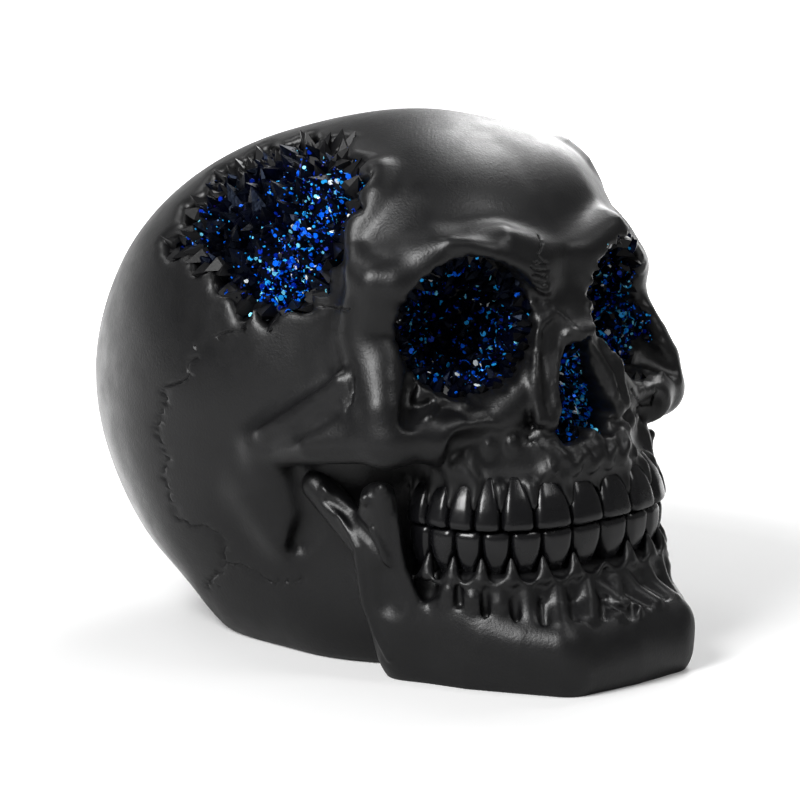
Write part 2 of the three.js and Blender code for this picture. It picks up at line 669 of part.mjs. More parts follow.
const skull = new THREE.Group();
skull.name = "geode_skull";
skull.add(
  piece("cranium", geometryOf(cranium), resin),
  piece("mandible", geometryOf(mandible), resin),
  piece("upper_tooth_row", geometryOf(upperTeeth(0)), toothResin),
  piece("lower_tooth_row", geometryOf(lowerTeeth(0)), toothResin),
  piece("temple_geode", geometryOf(templeBed), druse),
  piece("right_eye_geode", rightEyeBed, druse),
  piece("left_eye_geode", leftEyeBed, druse),
  piece("nasal_geode", geometryOf(noseBed), druse),
);

export default skull;
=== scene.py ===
import math

import bmesh
import bpy
import numpy as np
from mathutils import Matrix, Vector
from mathutils.kdtree import KDTree


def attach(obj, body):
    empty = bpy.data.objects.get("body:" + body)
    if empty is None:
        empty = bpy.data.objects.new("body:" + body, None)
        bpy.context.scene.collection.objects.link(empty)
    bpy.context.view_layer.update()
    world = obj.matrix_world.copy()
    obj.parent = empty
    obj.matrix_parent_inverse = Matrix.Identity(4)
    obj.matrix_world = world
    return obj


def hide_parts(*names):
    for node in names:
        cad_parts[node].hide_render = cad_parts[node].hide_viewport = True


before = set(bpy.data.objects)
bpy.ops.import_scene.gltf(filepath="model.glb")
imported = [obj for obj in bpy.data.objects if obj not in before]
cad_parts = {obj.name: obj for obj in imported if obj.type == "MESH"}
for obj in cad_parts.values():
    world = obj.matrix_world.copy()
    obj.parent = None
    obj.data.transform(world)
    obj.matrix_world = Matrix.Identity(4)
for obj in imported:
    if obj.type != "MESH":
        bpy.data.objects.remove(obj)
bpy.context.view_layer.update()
random = np.random.default_rng(20)

# Millimetres in every form below; the meshes are made in metres
MM = 0.001
ORIGIN_SETBACK = 1.0
CREASE = 1.0
COARSENESS = 1
FAR = 1000

# How far round a row of a form its field stays true, where nothing else is asked
SPARE = 3.0

# A search takes this share of the distance left, between two limits along a ray
STRIDE = 0.8
LEAST_STEP = -4
MOST_STEP = 15
RAY_STEPS = 90
RAY_LEAD = 130

# Camera of the photograph
IMAGE_SIZE = 800
VIEW_AZIMUTH = 43
VIEW_ELEVATION = 11.5
VIEW_DISTANCE = 1071
VIEW_TARGET = (-20, -18.5, 62)
PIXELS_PER_SLOPE = 4500

# Dental arch, as in the solids
ARCH_WIDTH = 64
ARCH_LENGTH = 27
ARCH_BACK = 38
ARCH_ROUNDNESS = 0.74
ARCH_STEP_SHARE = 0.01
BITE_HEIGHT = 37.8
UPPER_TOOTH_HEIGHT = 11.5
LOWER_TOOTH_HEIGHT = 12
TOOTH_THICKNESS = 8.5
TOOTH_OVERLAP = 0.5
UPPER_TOOTH_LEAN = 24
LOWER_TOOTH_LEAN = 14
UPPER_TOOTH_FLARE = 1.2
UPPER_WIDTH_SHARES = (0.195, 0.19, 0.15, 0.115, 0.115, 0.115, 0.12)
LOWER_WIDTH_SHARES = (0.18, 0.165, 0.145, 0.125, 0.125, 0.13, 0.13)


def unit(v):
    return v / np.maximum(np.linalg.norm(v, axis=-1, keepdims=True), 1e-9)


def view_axes(azimuth, elevation):
    """The picture's right and up and the way back to the camera, for a view of the skull."""
    a, e = math.radians(azimuth), math.radians(elevation)
    right = np.array((math.cos(a), -math.sin(a), 0))
    up = np.array((math.sin(a) * math.sin(e), math.cos(a) * math.sin(e), math.cos(e)))
    return right, up, np.cross(right, up)


RIGHT, UP, BACK = view_axes(VIEW_AZIMUTH, VIEW_ELEVATION)
CAMERA_PLACE = np.array(VIEW_TARGET) - (0, ORIGIN_SETBACK, 0) + BACK * VIEW_DISTANCE


def seen_on(distance_of, pixels):
    """Where the camera's rays through pixels of the photograph meet a form."""
    slope = (np.array(pixels, float) - IMAGE_SIZE / 2) / PIXELS_PER_SLOPE
    way = unit(-BACK + slope[:, :1] * RIGHT - slope[:, 1:] * UP)
    run = np.full(len(way), float(VIEW_DISTANCE - RAY_LEAD))
    for _ in range(RAY_STEPS):
        run += STRIDE * distance_of(CAMERA_PLACE + run[:, None] * way).clip(LEAST_STEP, MOST_STEP)
    return CAMERA_PLACE + run[:, None] * way


def gradient(distance_of, p, step=0.3):
    shifts = step * np.eye(3)
    return unit(np.stack([distance_of(p + shift) - distance_of(p - shift) for shift in shifts], 1))


def carved(distance_of, *table):
    """Rows of a form read from the photograph: bars along paths, or balls at spots.

    Each row of the table is an act, a blend, a path or several, the radii of a bar or the radius of balls,
    and how far they are lifted off the surface.
    """
    rows = []
    for act, blend, paths, radii, lift in table:
        for path in paths if isinstance(paths[0][0], tuple) else (paths,):
            places = seen_on(distance_of, path)
            places = [(abs(x), y, z) for x, y, z in places + lift * gradient(distance_of, places)]
            if isinstance(radii, tuple):
                sizes = np.interp(np.linspace(0, 1, len(path)), np.linspace(0, 1, len(radii)), radii)
                rows.append((act, blend, "bar", [(*p, r) for p, r in zip(places, sizes)]))
            else:
                rows += [(act, blend, "ball", p, (radii,) * 3) for p in places]
    return rows


def arch_line():
    """Points along half the arch, from the middle tooth to the last molar, with the run to each."""
    angle = np.linspace(0, math.pi / 2, 241)
    x = ARCH_WIDTH / 2 * np.sin(angle) ** ARCH_ROUNDNESS
    y = -ARCH_BACK - ARCH_LENGTH * np.cos(angle).clip(0) ** ARCH_ROUNDNESS
    run = np.concatenate([[0], np.cumsum(np.hypot(np.diff(x), np.diff(y)))])
    return x, y, run


ARCH_X, ARCH_Y, ARCH_RUN = arch_line()


def arch_at(run):
    return np.array([np.interp(run, ARCH_RUN, line) for line in (ARCH_X, ARCH_Y)])


def arch_place(share, outward=0.0):
    """A point on the arch at a share of its run, moved outwards, and the direction out of the mouth there."""
    run, step = share * ARCH_RUN[-1], ARCH_STEP_SHARE * ARCH_RUN[-1]
    way_x, way_y = arch_at(min(run + step, ARCH_RUN[-1])) - arch_at(max(run - step, 0))
    out = np.array((way_y, -way_x)) / math.hypot(way_x, way_y)
    return arch_at(run) + outward * out, out


def gum_row(inset, height, radius):
    """A gum ridge as one bar along the arch."""
    points = []
    for share in np.linspace(0, 1, 13):
        (x, y), _ = arch_place(share)
        points.append((x * (1 - inset), y + inset * ARCH_LENGTH, height, radius))
    return ("join", 5, "bar", points)


def tooth_spans(width_shares):
    """Where each tooth of one side starts and ends on the arch."""
    ends = np.cumsum((0,) + width_shares)
    return list(zip(ends[:-1], ends[1:]))


def gum_collars(width_shares, middle_height, seam_height, outwards, radius, bow):
    """A thin rounded rim that bows round the neck of each tooth."""
    rows = []
    for start, end in tooth_spans(width_shares):
        points = []
        for t in np.linspace(-1, 1, 9):
            share = (start + end) / 2 + 0.96 * t * (end - start) / 2
            rise = abs(t) ** bow
            (x, y), _ = arch_place(share, outwards[0] + (outwards[1] - outwards[0]) * rise)
            points.append((x, y, middle_height + (seam_height - middle_height) * rise, radius))
        rows.append(("join", 0.9, "bar", points))
    return rows


def tooth_bars(width_shares, between, blend, heights, outwards, radii):
    """A bar on the gum at each tooth of one side: over its root, or between it and the next tooth."""
    rows = []
    for start, end in tooth_spans(width_shares):
        share = end if between else (start + end) / 2
        places = [arch_place(share, outward)[0] for outward in outwards]
        points = [(x, y, height, radius) for (x, y), height, radius in zip(places, heights, radii)]
        rows.append(("join", blend, "bar", points))
    return rows


# Each row of a form joins or cuts with a soft edge. A ball has its middle and its radii, and a bar has its
# points, each with a radius. Both sides of the skull come from one row.
BRAINCASE = (
    ("join", 1, "ball", (0, 10, 67), (54, 61, 57)),
    ("join", 24, "ball", (15, 30, 65), (38, 45, 41)),
    ("join", 20, "ball", (0, -15, 89), (42, 39, 36)),
    ("join", 12, "ball", (15, -24, 97), (23, 20, 22)),
    ("join", 14, "ball", (0, 25, 36), (52, 49, 38)),
    ("join", 14, "ball", (0, -4, 14), (42, 40, 30)),
    ("cut", 8, "ball", (61, -22, 86), (10, 13, 16)),
)
MIDFACE = (
    ("join", 10, "ball", (0, -28, 74), (38, 22, 34)),
    ("join", 8, "ball", (0, -40, 50), (32, 26, 13)),
)
BROW = (
    ("join", 6, "bar", ((4, -53, 97, 4.5), (18, -52, 103.5, 4), (31, -45, 101.5, 4), (41, -36, 91, 4.5))),
    ("join", 6, "bar", ((42, -32, 94, 4.5), (43, -32, 82, 5.5), (43, -37, 68, 6))),
)
CHEEK = (
    ("join", 6, "bar", ((43, -42, 61, 6.5), (35, -48, 59, 6), (22, -53, 61, 4.5), (12, -56, 70, 3.5))),
    ("join", 5, "bar", ((45, -40, 60, 6.5), (51, -24, 57, 5.2), (50.5, -6, 52, 3.8))),
    ("join", 5, "bar", ((45.5, -31, 67, 5.5), (49.5, -17, 60.5, 3.8), (51.5, -5, 54.5, 2.5))),
    ("cut", 5, "ball", (29, -61, 55), (7, 6, 6)),
)
NOSE_BRIDGE = (
    ("join", 5, "bar", ((0, -50, 87, 5), (0, -59, 81.5, 4))),
    ("join", 3, "bar", ((6, -51, 89, 1.8), (6.8, -56, 76, 2), (11, -60.3, 62, 2.8))),
    ("join", 4, "bar", ((0, -63, 58, 2.5), (0, -60, 56, 4))),
)
MASTOID = (
    ("join", 8, "bar", ((47, -2, 42, 6), (45, -6, 32, 4))),
    ("cut", 3, "bar", ((47.5, -14, 47, 2.5), (45, -16, 36, 3), (44.5, -10, 29, 2))),
)
JAW_BODY = (
    ("join", 1, "bar", ((0, -72, 5.5, 9), (15, -71, 5.5, 9), (25, -52, 4, 8.5), (31.5, -37, 4, 7))),
    ("join", 6, "bar", ((0, -71.5, 12, 7), (15, -69.3, 12, 6.6), (25, -52, 13, 7.5), (32, -38, 13, 7))),
    ("join", 6, "ball", (0, -47, 9), (29, 27, 16)),
)
RAMUS = (
    ("join", 8, "bar", ((33, -36, 9, 6), (39.5, -33, 20, 4.6), (41.5, -32, 32, 4.2), (44, -17, 44.5, 4))),
    ("join", 6, "bar", ((34, -39, 16, 5), (40, -37.5, 32, 4.2), (43, -38, 45, 3.4))),
    ("join", 4, "bar", ((42, -33, 38, 2.5), (43.2, -34.5, 44.5, 2.2))),
    ("cut", 4, "bar", ((37, -46, 46, 4), (34, -45, 30, 5.5), (33, -44, 20, 3))),
)

UPPER_GUM_HEIGHT = BITE_HEIGHT + UPPER_TOOTH_HEIGHT * 1.25
LOWER_GUM_HEIGHT = BITE_HEIGHT - LOWER_TOOTH_HEIGHT * 1.25
SKULL_MAIN = (
    *BRAINCASE,
    *MIDFACE,
    *BROW,
    *CHEEK,
    *NOSE_BRIDGE,
    gum_row(0.15, UPPER_GUM_HEIGHT, 4.2),
    *MASTOID,
)
JAW_MAIN = (*JAW_BODY, gum_row(0.03, LOWER_GUM_HEIGHT, 5), *RAMUS)


def soft_min(a, b, blend):
    share = np.clip(0.5 + 0.5 * (b - a) / blend, 0, 1)
    return b * (1 - share) + a * share - blend * share * (1 - share)


def ball_distance(p, middle, radii):
    q = (p - np.array(middle, np.float32)) / np.array(radii, np.float32)
    near = np.sqrt((q * q).sum(1))
    slope = np.sqrt(((q / np.array(radii, np.float32)) ** 2).sum(1)) + 1e-6
    return near * (near - 1) / slope


def bar_distance(p, points):
    nearest = None
    for a, b in zip(points, points[1:]):
        start = np.array(a[:3], np.float32)
        way = np.array(b[:3], np.float32) - start
        t = np.clip(((p - start) @ way) / (way @ way), 0, 1)
        away = np.linalg.norm(p - start - t[:, None] * way, axis=1) - (a[3] + t * (b[3] - a[3]))
        nearest = away if nearest is None else np.minimum(nearest, away)
    return nearest


def row_distance(p, kind, places, radii):
    return ball_distance(p, places, radii[0]) if kind == "ball" else bar_distance(p, places)


def row_reach(kind, places, radii, margin):
    """Corners of the box outside which a row changes nothing."""
    if kind == "ball":
        middle, half = np.array(places, float), np.array(radii[0], float)
        return middle - half - margin, middle + half + margin
    ends = np.array(places, float)
    return (ends[:, :3] - ends[:, 3:]).min(0) - margin, (ends[:, :3] + ends[:, 3:]).max(0) + margin


def within(p, low, high):
    return ((p > low) & (p < high)).all(1)


def form_distance(p, rows, spare=SPARE):
    """Signed distance of a form at an array of points: negative inside the casting."""
    side = p.astype(np.float32)
    side[:, 0] = np.hypot(p[:, 0], CREASE)
    distance = None
    for act, blend, kind, places, *radii in rows:
        if distance is None:
            distance = row_distance(side, kind, places, radii)
            continue
        near = within(side, *row_reach(kind, places, radii, blend + spare))
        if not near.any():
            continue
        here = row_distance(side[near], kind, places, radii)
        old = distance[near]
        distance[near] = soft_min(old, here, blend) if act == "join" else -soft_min(-old, here, blend)
    return distance


def skull_main(p):
    return form_distance(p, SKULL_MAIN)


def jaw_main(p):
    return form_distance(p, JAW_MAIN)


# Finer carving, which the solids leave out. Paths and spots are pixels of the photograph.
ZYGOMA_GROOVE = ((354, 368), (353, 385), (352, 398), (346, 410))
ZYGOMA_RECESS = ((411, 384), (411, 400), (409, 420))
RECESS_PEARL = ((419, 398),)
RECESS_ARC = ((420, 391), (431, 393), (437, 403), (429, 418))
SOCKET_LIP = ((413, 376), (428, 391), (446, 400), (462, 404))
ARCH_CREST = ((262, 434), (285, 421), (305, 409), (328, 394), (341, 382))
ARCH_GROOVE = ((266, 449), (290, 441), (318, 425), (336, 412))
TEMPORAL_RIDGE = (
    (376, 172), (374, 192), (363, 212), (351, 230), (348, 248), (356, 266), (374, 279), (392, 282),
)
TEMPORAL_HOLLOW = ((326, 240), (328, 262), (326, 285))
BROW_RIDGE = ((450, 244), (470, 246), (490, 252), (510, 259), (528, 267), (542, 288))
BROW_GROOVE = ((474, 262), (490, 267), (506, 275), (520, 284), (538, 298))
NASAL_BONE_EDGE = ((545, 304), (557, 312), (570, 322), (582, 331))
NOSE_RIM = ((566, 336), (560, 348), (556, 362), (554, 385), (557, 408), (565, 427))
NOSE_SIDE_LINE = ((549, 316), (541, 321), (536, 330), (535, 352), (535, 380), (536, 400), (541, 420))
NOSE_SIDE_SPOT = ((527, 433),)
CHEEK_FOLDS = (
    ((455, 410), (470, 418), (486, 415), (503, 420)),
    ((508, 430), (515, 442), (521, 452)),
    ((492, 440), (503, 452), (513, 462)),
    ((528, 436), (540, 450), (551, 466)),
)
CHEEK_RIDGES = (
    ((486, 447), (497, 461), (507, 476)),
    ((508, 447), (517, 459), (525, 472)),
    ((534, 443), (543, 456), (553, 472)),
    ((554, 445), (564, 457), (576, 470)),
    ((574, 443), (584, 454), (593, 466)),
    ((594, 446), (602, 455), (610, 465)),
    ((614, 448), (621, 456), (628, 465)),
)
MOLAR_BULGES = ((437, 480), (455, 474), (474, 478))
ROOT_PITS = (
    ((459, 584), (460, 602)),
    ((485, 592), (486, 614)),
    ((514, 600), (516, 621)),
    ((542, 603), (545, 624)),
    ((573, 600), (575, 618)),
    ((603, 600), (604, 616)),
    ((632, 602), (634, 616)),
)
ROOT_COLUMNS = (
    ((446, 572), (449, 590), (449, 604)),
    ((472, 578), (473, 598), (474, 612)),
    ((500, 583), (500, 604), (502, 622)),
    ((528, 588), (529, 608), (531, 626)),
    ((558, 586), (559, 606), (561, 624)),
    ((588, 582), (589, 602), (590, 618)),
    ((617, 580), (618, 600), (620, 614)),
)
RAMUS_FRONT_EDGE = ((395, 517), (398, 545), (402, 567), (417, 602), (436, 626))
RAMUS_REAR_EDGE = ((324, 488), (342, 518), (357, 548), (361, 575), (365, 602), (376, 633), (389, 658))
RAMUS_GROOVE = ((328, 500), (345, 512), (358, 525), (371, 539), (382, 553))
RAMUS_RIDGE = ((373, 530), (382, 550), (391, 572), (397, 596))
RAMUS_HOLLOW = ((384, 578), (388, 602))
JAW_SHELF = ((428, 602), (452, 620), (485, 633), (520, 641), (556, 643))
ZYGOMA_FACET = ((390, 364), (386, 384), (381, 402))
CORONOID_BUMPS = ((366, 499), (382, 489), (397, 491))

SKULL_CARVING = (
    ("join", 12, "ball", (13, 20, 13), (26.5, 23, 19.5)),
    ("join", 14, "ball", (10, 38, 55), (39.4, 36.6, 30)),
    ("join", 8, "ball", (31, -37, 97), (8, 8, 8)),
    ("cut", 4, "bar", ((20, -63, 58, 3.5), (27, -58, 57, 4.5), (32, -53, 57, 3.5))),
    ("join", 3, "ball", (44.5, -42, 59), (5.8, 6.5, 5.8)),
    ("cut", 5, "ball", (50, -17, 99), (4.5, 8, 10)),
    ("join", 3, "ball", (42.5, -34.5, 71), (5.6, 5.8, 7.4)),
    *carved(
        skull_main,
        ("join", 4, TEMPORAL_RIDGE, (3.4, 3, 1.8, 1.8, 2.6, 4, 3.6), -1.2),
        ("cut", 4, TEMPORAL_HOLLOW, (5, 5), 3.2),
        ("join", 2, ARCH_CREST, (1.2, 1.8, 2.2), 0),
        ("cut", 2, ARCH_GROOVE, (0.8, 1.2, 0.6), 0.6),
        ("join", 4, ZYGOMA_FACET, (4, 5, 4.4), -2.4),
        ("cut", 0.7, ZYGOMA_GROOVE, (0.35, 0.7, 0.5), 0),
        ("cut", 1.6, ZYGOMA_RECESS, (3, 3.6, 2.6), 0.8),
        ("join", 0.8, RECESS_PEARL, 1.6, 0),
        ("join", 1, RECESS_ARC, (0.9, 0.9), 0.2),
        ("join", 1.6, SOCKET_LIP, (0.9, 0.9), 0.3),
        ("join", 3, BROW_RIDGE, (1, 2, 1.6), 0.3),
        ("cut", 1.6, BROW_GROOVE, (0.8, 1.3, 1), 0.4),
        ("join", 1, NASAL_BONE_EDGE, (0.6, 0.8), 0.3),
        ("join", 1, NOSE_RIM, (0.8, 1), 0.2),
        ("join", 1.2, NOSE_SIDE_LINE, (0.9, 1.1, 1.6), 0.4),
        ("join", 0.8, NOSE_SIDE_SPOT, 1.4, 0),
        ("cut", 1, CHEEK_FOLDS, (0.5, 0.9, 0.5), 0.2),
        ("join", 1, CHEEK_RIDGES, (0.7, 1.3, 1), 0.1),
        ("join", 2, MOLAR_BULGES, 3.4, -1.6),
    ),
    *tooth_bars(UPPER_WIDTH_SHARES, False, 1.6, (51, 54, 58), (-2.2, -2.8, -4.4), (2.2, 1.9, 1.2)),
    *tooth_bars(UPPER_WIDTH_SHARES, True, 1.2, (50, 46, 42.6), (-1, 0.5, 1.6), (2, 1.4, 0.6)),
    *gum_collars(UPPER_WIDTH_SHARES, 50.4, 43.6, (-1.2, 1.9), 0.55, 2.4),
    ("cut", 5, "bar", ((0, -62, 96, 5.5), (0, -62.8, 90, 4.5))),
    ("cut", 2.5, "bar", ((19.1, -63.9, 53.6, 4.2), (27, -58.2, 53.4, 4.2))),
)
JAW_CARVING = (
    *carved(
        jaw_main,
        ("join", 6, JAW_SHELF, (3, 4.6, 5.2, 4.8, 3.2), -2.9),
        ("join", 1.6, ROOT_COLUMNS, (1.4, 2.2, 1.6), -0.4),
        ("cut", 0.8, ROOT_PITS, (0.9, 1.2), 0.5),
        ("join", 1.2, RAMUS_FRONT_EDGE, (0.6, 0.9, 0.7), 0.1),
        ("join", 1.2, RAMUS_REAR_EDGE, (0.7, 0.9, 0.7), 0),
        ("cut", 1.5, RAMUS_GROOVE, (0.8, 1.3, 0.8), 0.2),
        ("join", 1.2, RAMUS_RIDGE, (0.7, 0.9), 0.1),
        ("cut", 3, RAMUS_HOLLOW, (3, 3.6), 2),
        ("join", 0.8, CORONOID_BUMPS, 1.5, 0),
    ),
    *tooth_bars(LOWER_WIDTH_SHARES, True, 1.2, (26.4, 29, 31), (3, 2.6, 2.2), (1.8, 1.2, 0.6)),
    *gum_collars(LOWER_WIDTH_SHARES, 25.2, 28.4, (3.9, 3.2), 0.55, 2),
)
SKULL_ROWS = (*SKULL_MAIN, *SKULL_CARVING)
JAW_ROWS = (*JAW_MAIN, *JAW_CARVING)


def ripple(angle, height, phase, large, small):
    """A jagged wave round a broken rim, from its height, its phase and how many teeth it has."""
    wave = np.abs((angle * large + phase) % 2 - 1) + 0.6 * np.abs((angle * small + 2.3 * phase) % 2 - 1)
    return height * (wave - 0.8)


# Eye sockets: a ball cut turned towards the temple, with a jagged rim
EYE_MIDDLE = np.array((26.3, -49.5, 84.3))
EYE_RADII = np.array((16.6, 24.0, 16.8))
EYE_REACH = 28
EYE_TURN = math.radians(27)
EYE_COS = math.cos(EYE_TURN)
EYE_SIN = math.sin(EYE_TURN)
EYE_RIM_HEIGHT = 0.7
EYE_RIM_PHASES = (0.3, 1.1)
EYE_RIM_TEETH = (26, 38)
EYE_LIP_ROUNDING = 1.6
LEFT_EYE_SLANT = 0.3
LEFT_EYE_DROP = 1.5
LEFT_EYE_STRETCHES = (1.22, 1.1, 1.07)


def eye_axes(p):
    """Places in the frame of the socket on that side."""
    x, y, z = np.abs(p[:, 0]) - EYE_MIDDLE[0], p[:, 1] - EYE_MIDDLE[1], p[:, 2] - EYE_MIDDLE[2]
    across, left = x * EYE_COS + y * EYE_SIN, p[:, 0] > 0
    z = np.where(left, (z + LEFT_EYE_SLANT * across + LEFT_EYE_DROP) / LEFT_EYE_STRETCHES[2], z)
    across = np.where(left, across / np.where(across < 0, *LEFT_EYE_STRETCHES[:2]), across)
    return np.stack([across, y * EYE_COS - x * EYE_SIN, z], 1)


def eye_distance(p):
    q = eye_axes(p)
    angle = np.arctan2(q[:, 2], q[:, 0]) / math.pi
    phase = np.where(p[:, 0] < 0, *EYE_RIM_PHASES)
    return ball_distance(q, (0, 0, 0), EYE_RADII) + ripple(angle, EYE_RIM_HEIGHT, phase, *EYE_RIM_TEETH)


# Outlines: the nose opening and the temple geode
def outline_distance(points, outline):
    """Signed distance in a plane to a closed outline: negative inside it."""
    nearest = np.full(len(points), 1e9)
    inside = np.zeros(len(points), bool)
    for a, b in zip(outline, np.roll(outline, -1, 0)):
        way = b - a
        t = np.clip(((points - a) @ way) / (way @ way), 0, 1)
        nearest = np.minimum(nearest, np.linalg.norm(points - a - t[:, None] * way, axis=1))
        crosses = (a[1] > points[:, 1]) != (b[1] > points[:, 1])
        with np.errstate(divide="ignore", invalid="ignore"):
            at = a[0] + (points[:, 1] - a[1]) * way[0] / way[1]
        inside ^= crosses & (points[:, 0] < at)
    return np.where(inside, -nearest, nearest)


NOSE_WIDTH = 19
NOSE_HEIGHT = 25
NOSE_FLOOR = 56
NOSE_BACK = -50
NOSE_SHARES = ((0, 1), (0.42, 0.88), (0.66, 0.55), (1, 0.2), (0.82, 0), (0.35, 0.02), (0, 0.12))
NOSE_RIGHT = np.array([(x * NOSE_WIDTH / 2, NOSE_FLOOR + z * NOSE_HEIGHT) for x, z in NOSE_SHARES])
NOSE_OUTLINE = np.concatenate([NOSE_RIGHT, NOSE_RIGHT[-2:0:-1] * (-1, 1)])
NOSE_RIM_WAVE = (0.5, 0.4, 17, 29)
NOSE_BOX = (
    (-16, -FAR, NOSE_FLOOR - 8),
    (16, NOSE_BACK + 6, NOSE_FLOOR + NOSE_HEIGHT + 6),
)


def nose_distance(p):
    sides = outline_distance(p[:, [0, 2]], NOSE_OUTLINE)
    angle = np.arctan2(p[:, 2] - NOSE_FLOOR - NOSE_HEIGHT / 2, p[:, 0]) / math.pi
    return np.maximum(sides + ripple(angle, *NOSE_RIM_WAVE), p[:, 1] - NOSE_BACK)


TEMPLE_MIDDLE = np.array((-44.0, 2.0, 105.0))
TEMPLE_LENGTH = 61
TEMPLE_HEIGHT = 53
TEMPLE_TURN = math.radians(176)
TEMPLE_TILT = math.radians(42)
TEMPLE_SHARES = (
    (-0.53, -0.18), (-0.46, -0.09), (-0.54, 0.01), (-0.47, 0.1), (-0.55, 0.25), (-0.43, 0.32), (-0.43, 0.45),
    (-0.29, 0.43), (-0.2, 0.55), (-0.08, 0.47), (0.05, 0.55), (0.14, 0.42), (0.27, 0.42), (0.29, 0.32),
    (0.41, 0.32), (0.37, 0.22), (0.45, 0.18), (0.37, 0.1), (0.4, -0.03), (0.33, -0.08), (0.36, -0.17),
    (0.28, -0.21), (0.32, -0.27), (0.22, -0.3), (0.15, -0.4), (0.1, -0.34), (0.05, -0.43), (-0.03, -0.33),
    (-0.1, -0.35), (-0.16, -0.25), (-0.25, -0.3), (-0.33, -0.2), (-0.43, -0.27),
)
TEMPLE_OUTLINE = np.array(TEMPLE_SHARES) * (TEMPLE_LENGTH, TEMPLE_HEIGHT)
TEMPLE_RIM_WAVE = (0.45, 0.7, 41, 58)
TEMPLE_DEPTH = 7.9
TEMPLE_CUT_DEPTH = 35
TEMPLE_BOX = ((-42, -38, -TEMPLE_CUT_DEPTH - 1), (42, 38, FAR))
LIP_ROUNDING = 3
TEMPLE_OUT = np.array((
    math.cos(TEMPLE_TILT) * math.cos(TEMPLE_TURN),
    math.cos(TEMPLE_TILT) * math.sin(TEMPLE_TURN),
    math.sin(TEMPLE_TILT),
))
TEMPLE_FRONT = np.cross((0, 0, 1), TEMPLE_OUT)
TEMPLE_FRONT /= np.linalg.norm(TEMPLE_FRONT)
TEMPLE_UP = np.cross(TEMPLE_OUT, TEMPLE_FRONT)
TEMPLE_AXES = np.stack([TEMPLE_FRONT, TEMPLE_UP, TEMPLE_OUT])


def temple_axes(p):
    return (p - TEMPLE_MIDDLE) @ TEMPLE_AXES.T


def temple_places(q):
    return q @ TEMPLE_AXES + TEMPLE_MIDDLE


def temple_distance(p, shell):
    """The ragged hollow, as deep as the casting's wall there: negative inside it."""
    q = temple_axes(p)
    angle = np.arctan2(q[:, 1], q[:, 0]) / math.pi
    sides = outline_distance(q[:, :2], TEMPLE_OUTLINE) + ripple(angle, *TEMPLE_RIM_WAVE)
    return np.maximum(np.maximum(sides, -q[:, 2] - TEMPLE_CUT_DEPTH), -shell - TEMPLE_DEPTH)


# Balls cut from the outer end of the left brow, which is lower than the right one
LEFT_BROW_CUTS = (((52.7, -64.2, 128.2), 40), ((55.5, -51.3, 111.2), 25))
LEFT_BROW_START = 6
LEFT_BROW_BLEND = 4


def bare_shell(p, spare=SPARE):
    """The skull's casting before the sockets, the nose opening and the temple are cut."""
    distance = form_distance(p, SKULL_ROWS, spare)
    near = p[:, 0] > LEFT_BROW_START
    for middle, radius in LEFT_BROW_CUTS:
        here = np.linalg.norm(p[near] - middle, axis=1) - radius
        distance[near] = -soft_min(-distance[near], here, LEFT_BROW_BLEND)
    return distance


def skull_distance(p, spare=SPARE):
    shell = bare_shell(p, spare)
    solid = shell.copy()
    side = np.stack([np.abs(p[:, 0]), p[:, 1], p[:, 2]], 1)
    near = within(side, EYE_MIDDLE - EYE_REACH, EYE_MIDDLE + EYE_REACH)
    solid[near] = -soft_min(-solid[near], eye_distance(p[near]), EYE_LIP_ROUNDING)
    near = within(p, *NOSE_BOX)
    solid[near] = np.maximum(solid[near], -nose_distance(p[near]))
    near = within(temple_axes(p), *TEMPLE_BOX)
    hollow = temple_distance(p[near], shell[near])
    solid[near] = -soft_min(-solid[near], hollow, LIP_ROUNDING)
    return solid


def jaw_distance(p, spare=SPARE):
    return form_distance(p, JAW_ROWS, spare)


# Cells of the grid along each side of a block
BLOCK = 4
BLOCK_SPARE = 12.0


def even_marks(*spans):
    """Grid marks over joined spans, each with its own step, in whole blocks of cells."""
    marks = [spans[0][0]]
    for low, high, step in spans:
        count = math.ceil((high - marks[-1]) / (step * COARSENESS) / BLOCK) * BLOCK
        marks += list(np.linspace(marks[-1], high, count + 1)[1:])
    return np.array(marks)


def in_blocks(values):
    for axis in range(3):
        values = np.repeat(values, BLOCK, axis)
    return values


def sampled(distance_of, marks):
    """The field on a grid. Blocks far from the surface take the value at their middle."""
    corners = [m[::BLOCK] for m in marks]
    middles = [(c[1:] + c[:-1]) / 2 for c in corners]
    grid = np.stack(np.meshgrid(*middles, indexing="ij"), -1).reshape(-1, 3)
    halves = np.stack(np.meshgrid(*[(c[1:] - c[:-1]) / 2 for c in corners], indexing="ij"), -1)
    rough = distance_of(grid, BLOCK_SPARE).reshape([len(m) for m in middles])
    fine = in_blocks(np.abs(rough) < np.linalg.norm(halves, axis=-1) * 1.15 + 1.2)
    values = np.pad(in_blocks(rough), [(0, 1)] * 3, mode="edge").astype(np.float32)
    wanted = np.zeros(values.shape, bool)
    nx, ny, nz = fine.shape
    for i, j, k in np.ndindex(2, 2, 2):
        wanted[i:i + nx, j:j + ny, k:k + nz] |= fine
    at = np.nonzero(wanted)
    values[at] = distance_of(np.stack([marks[a][at[a]] for a in range(3)], 1), SPARE)
    return values


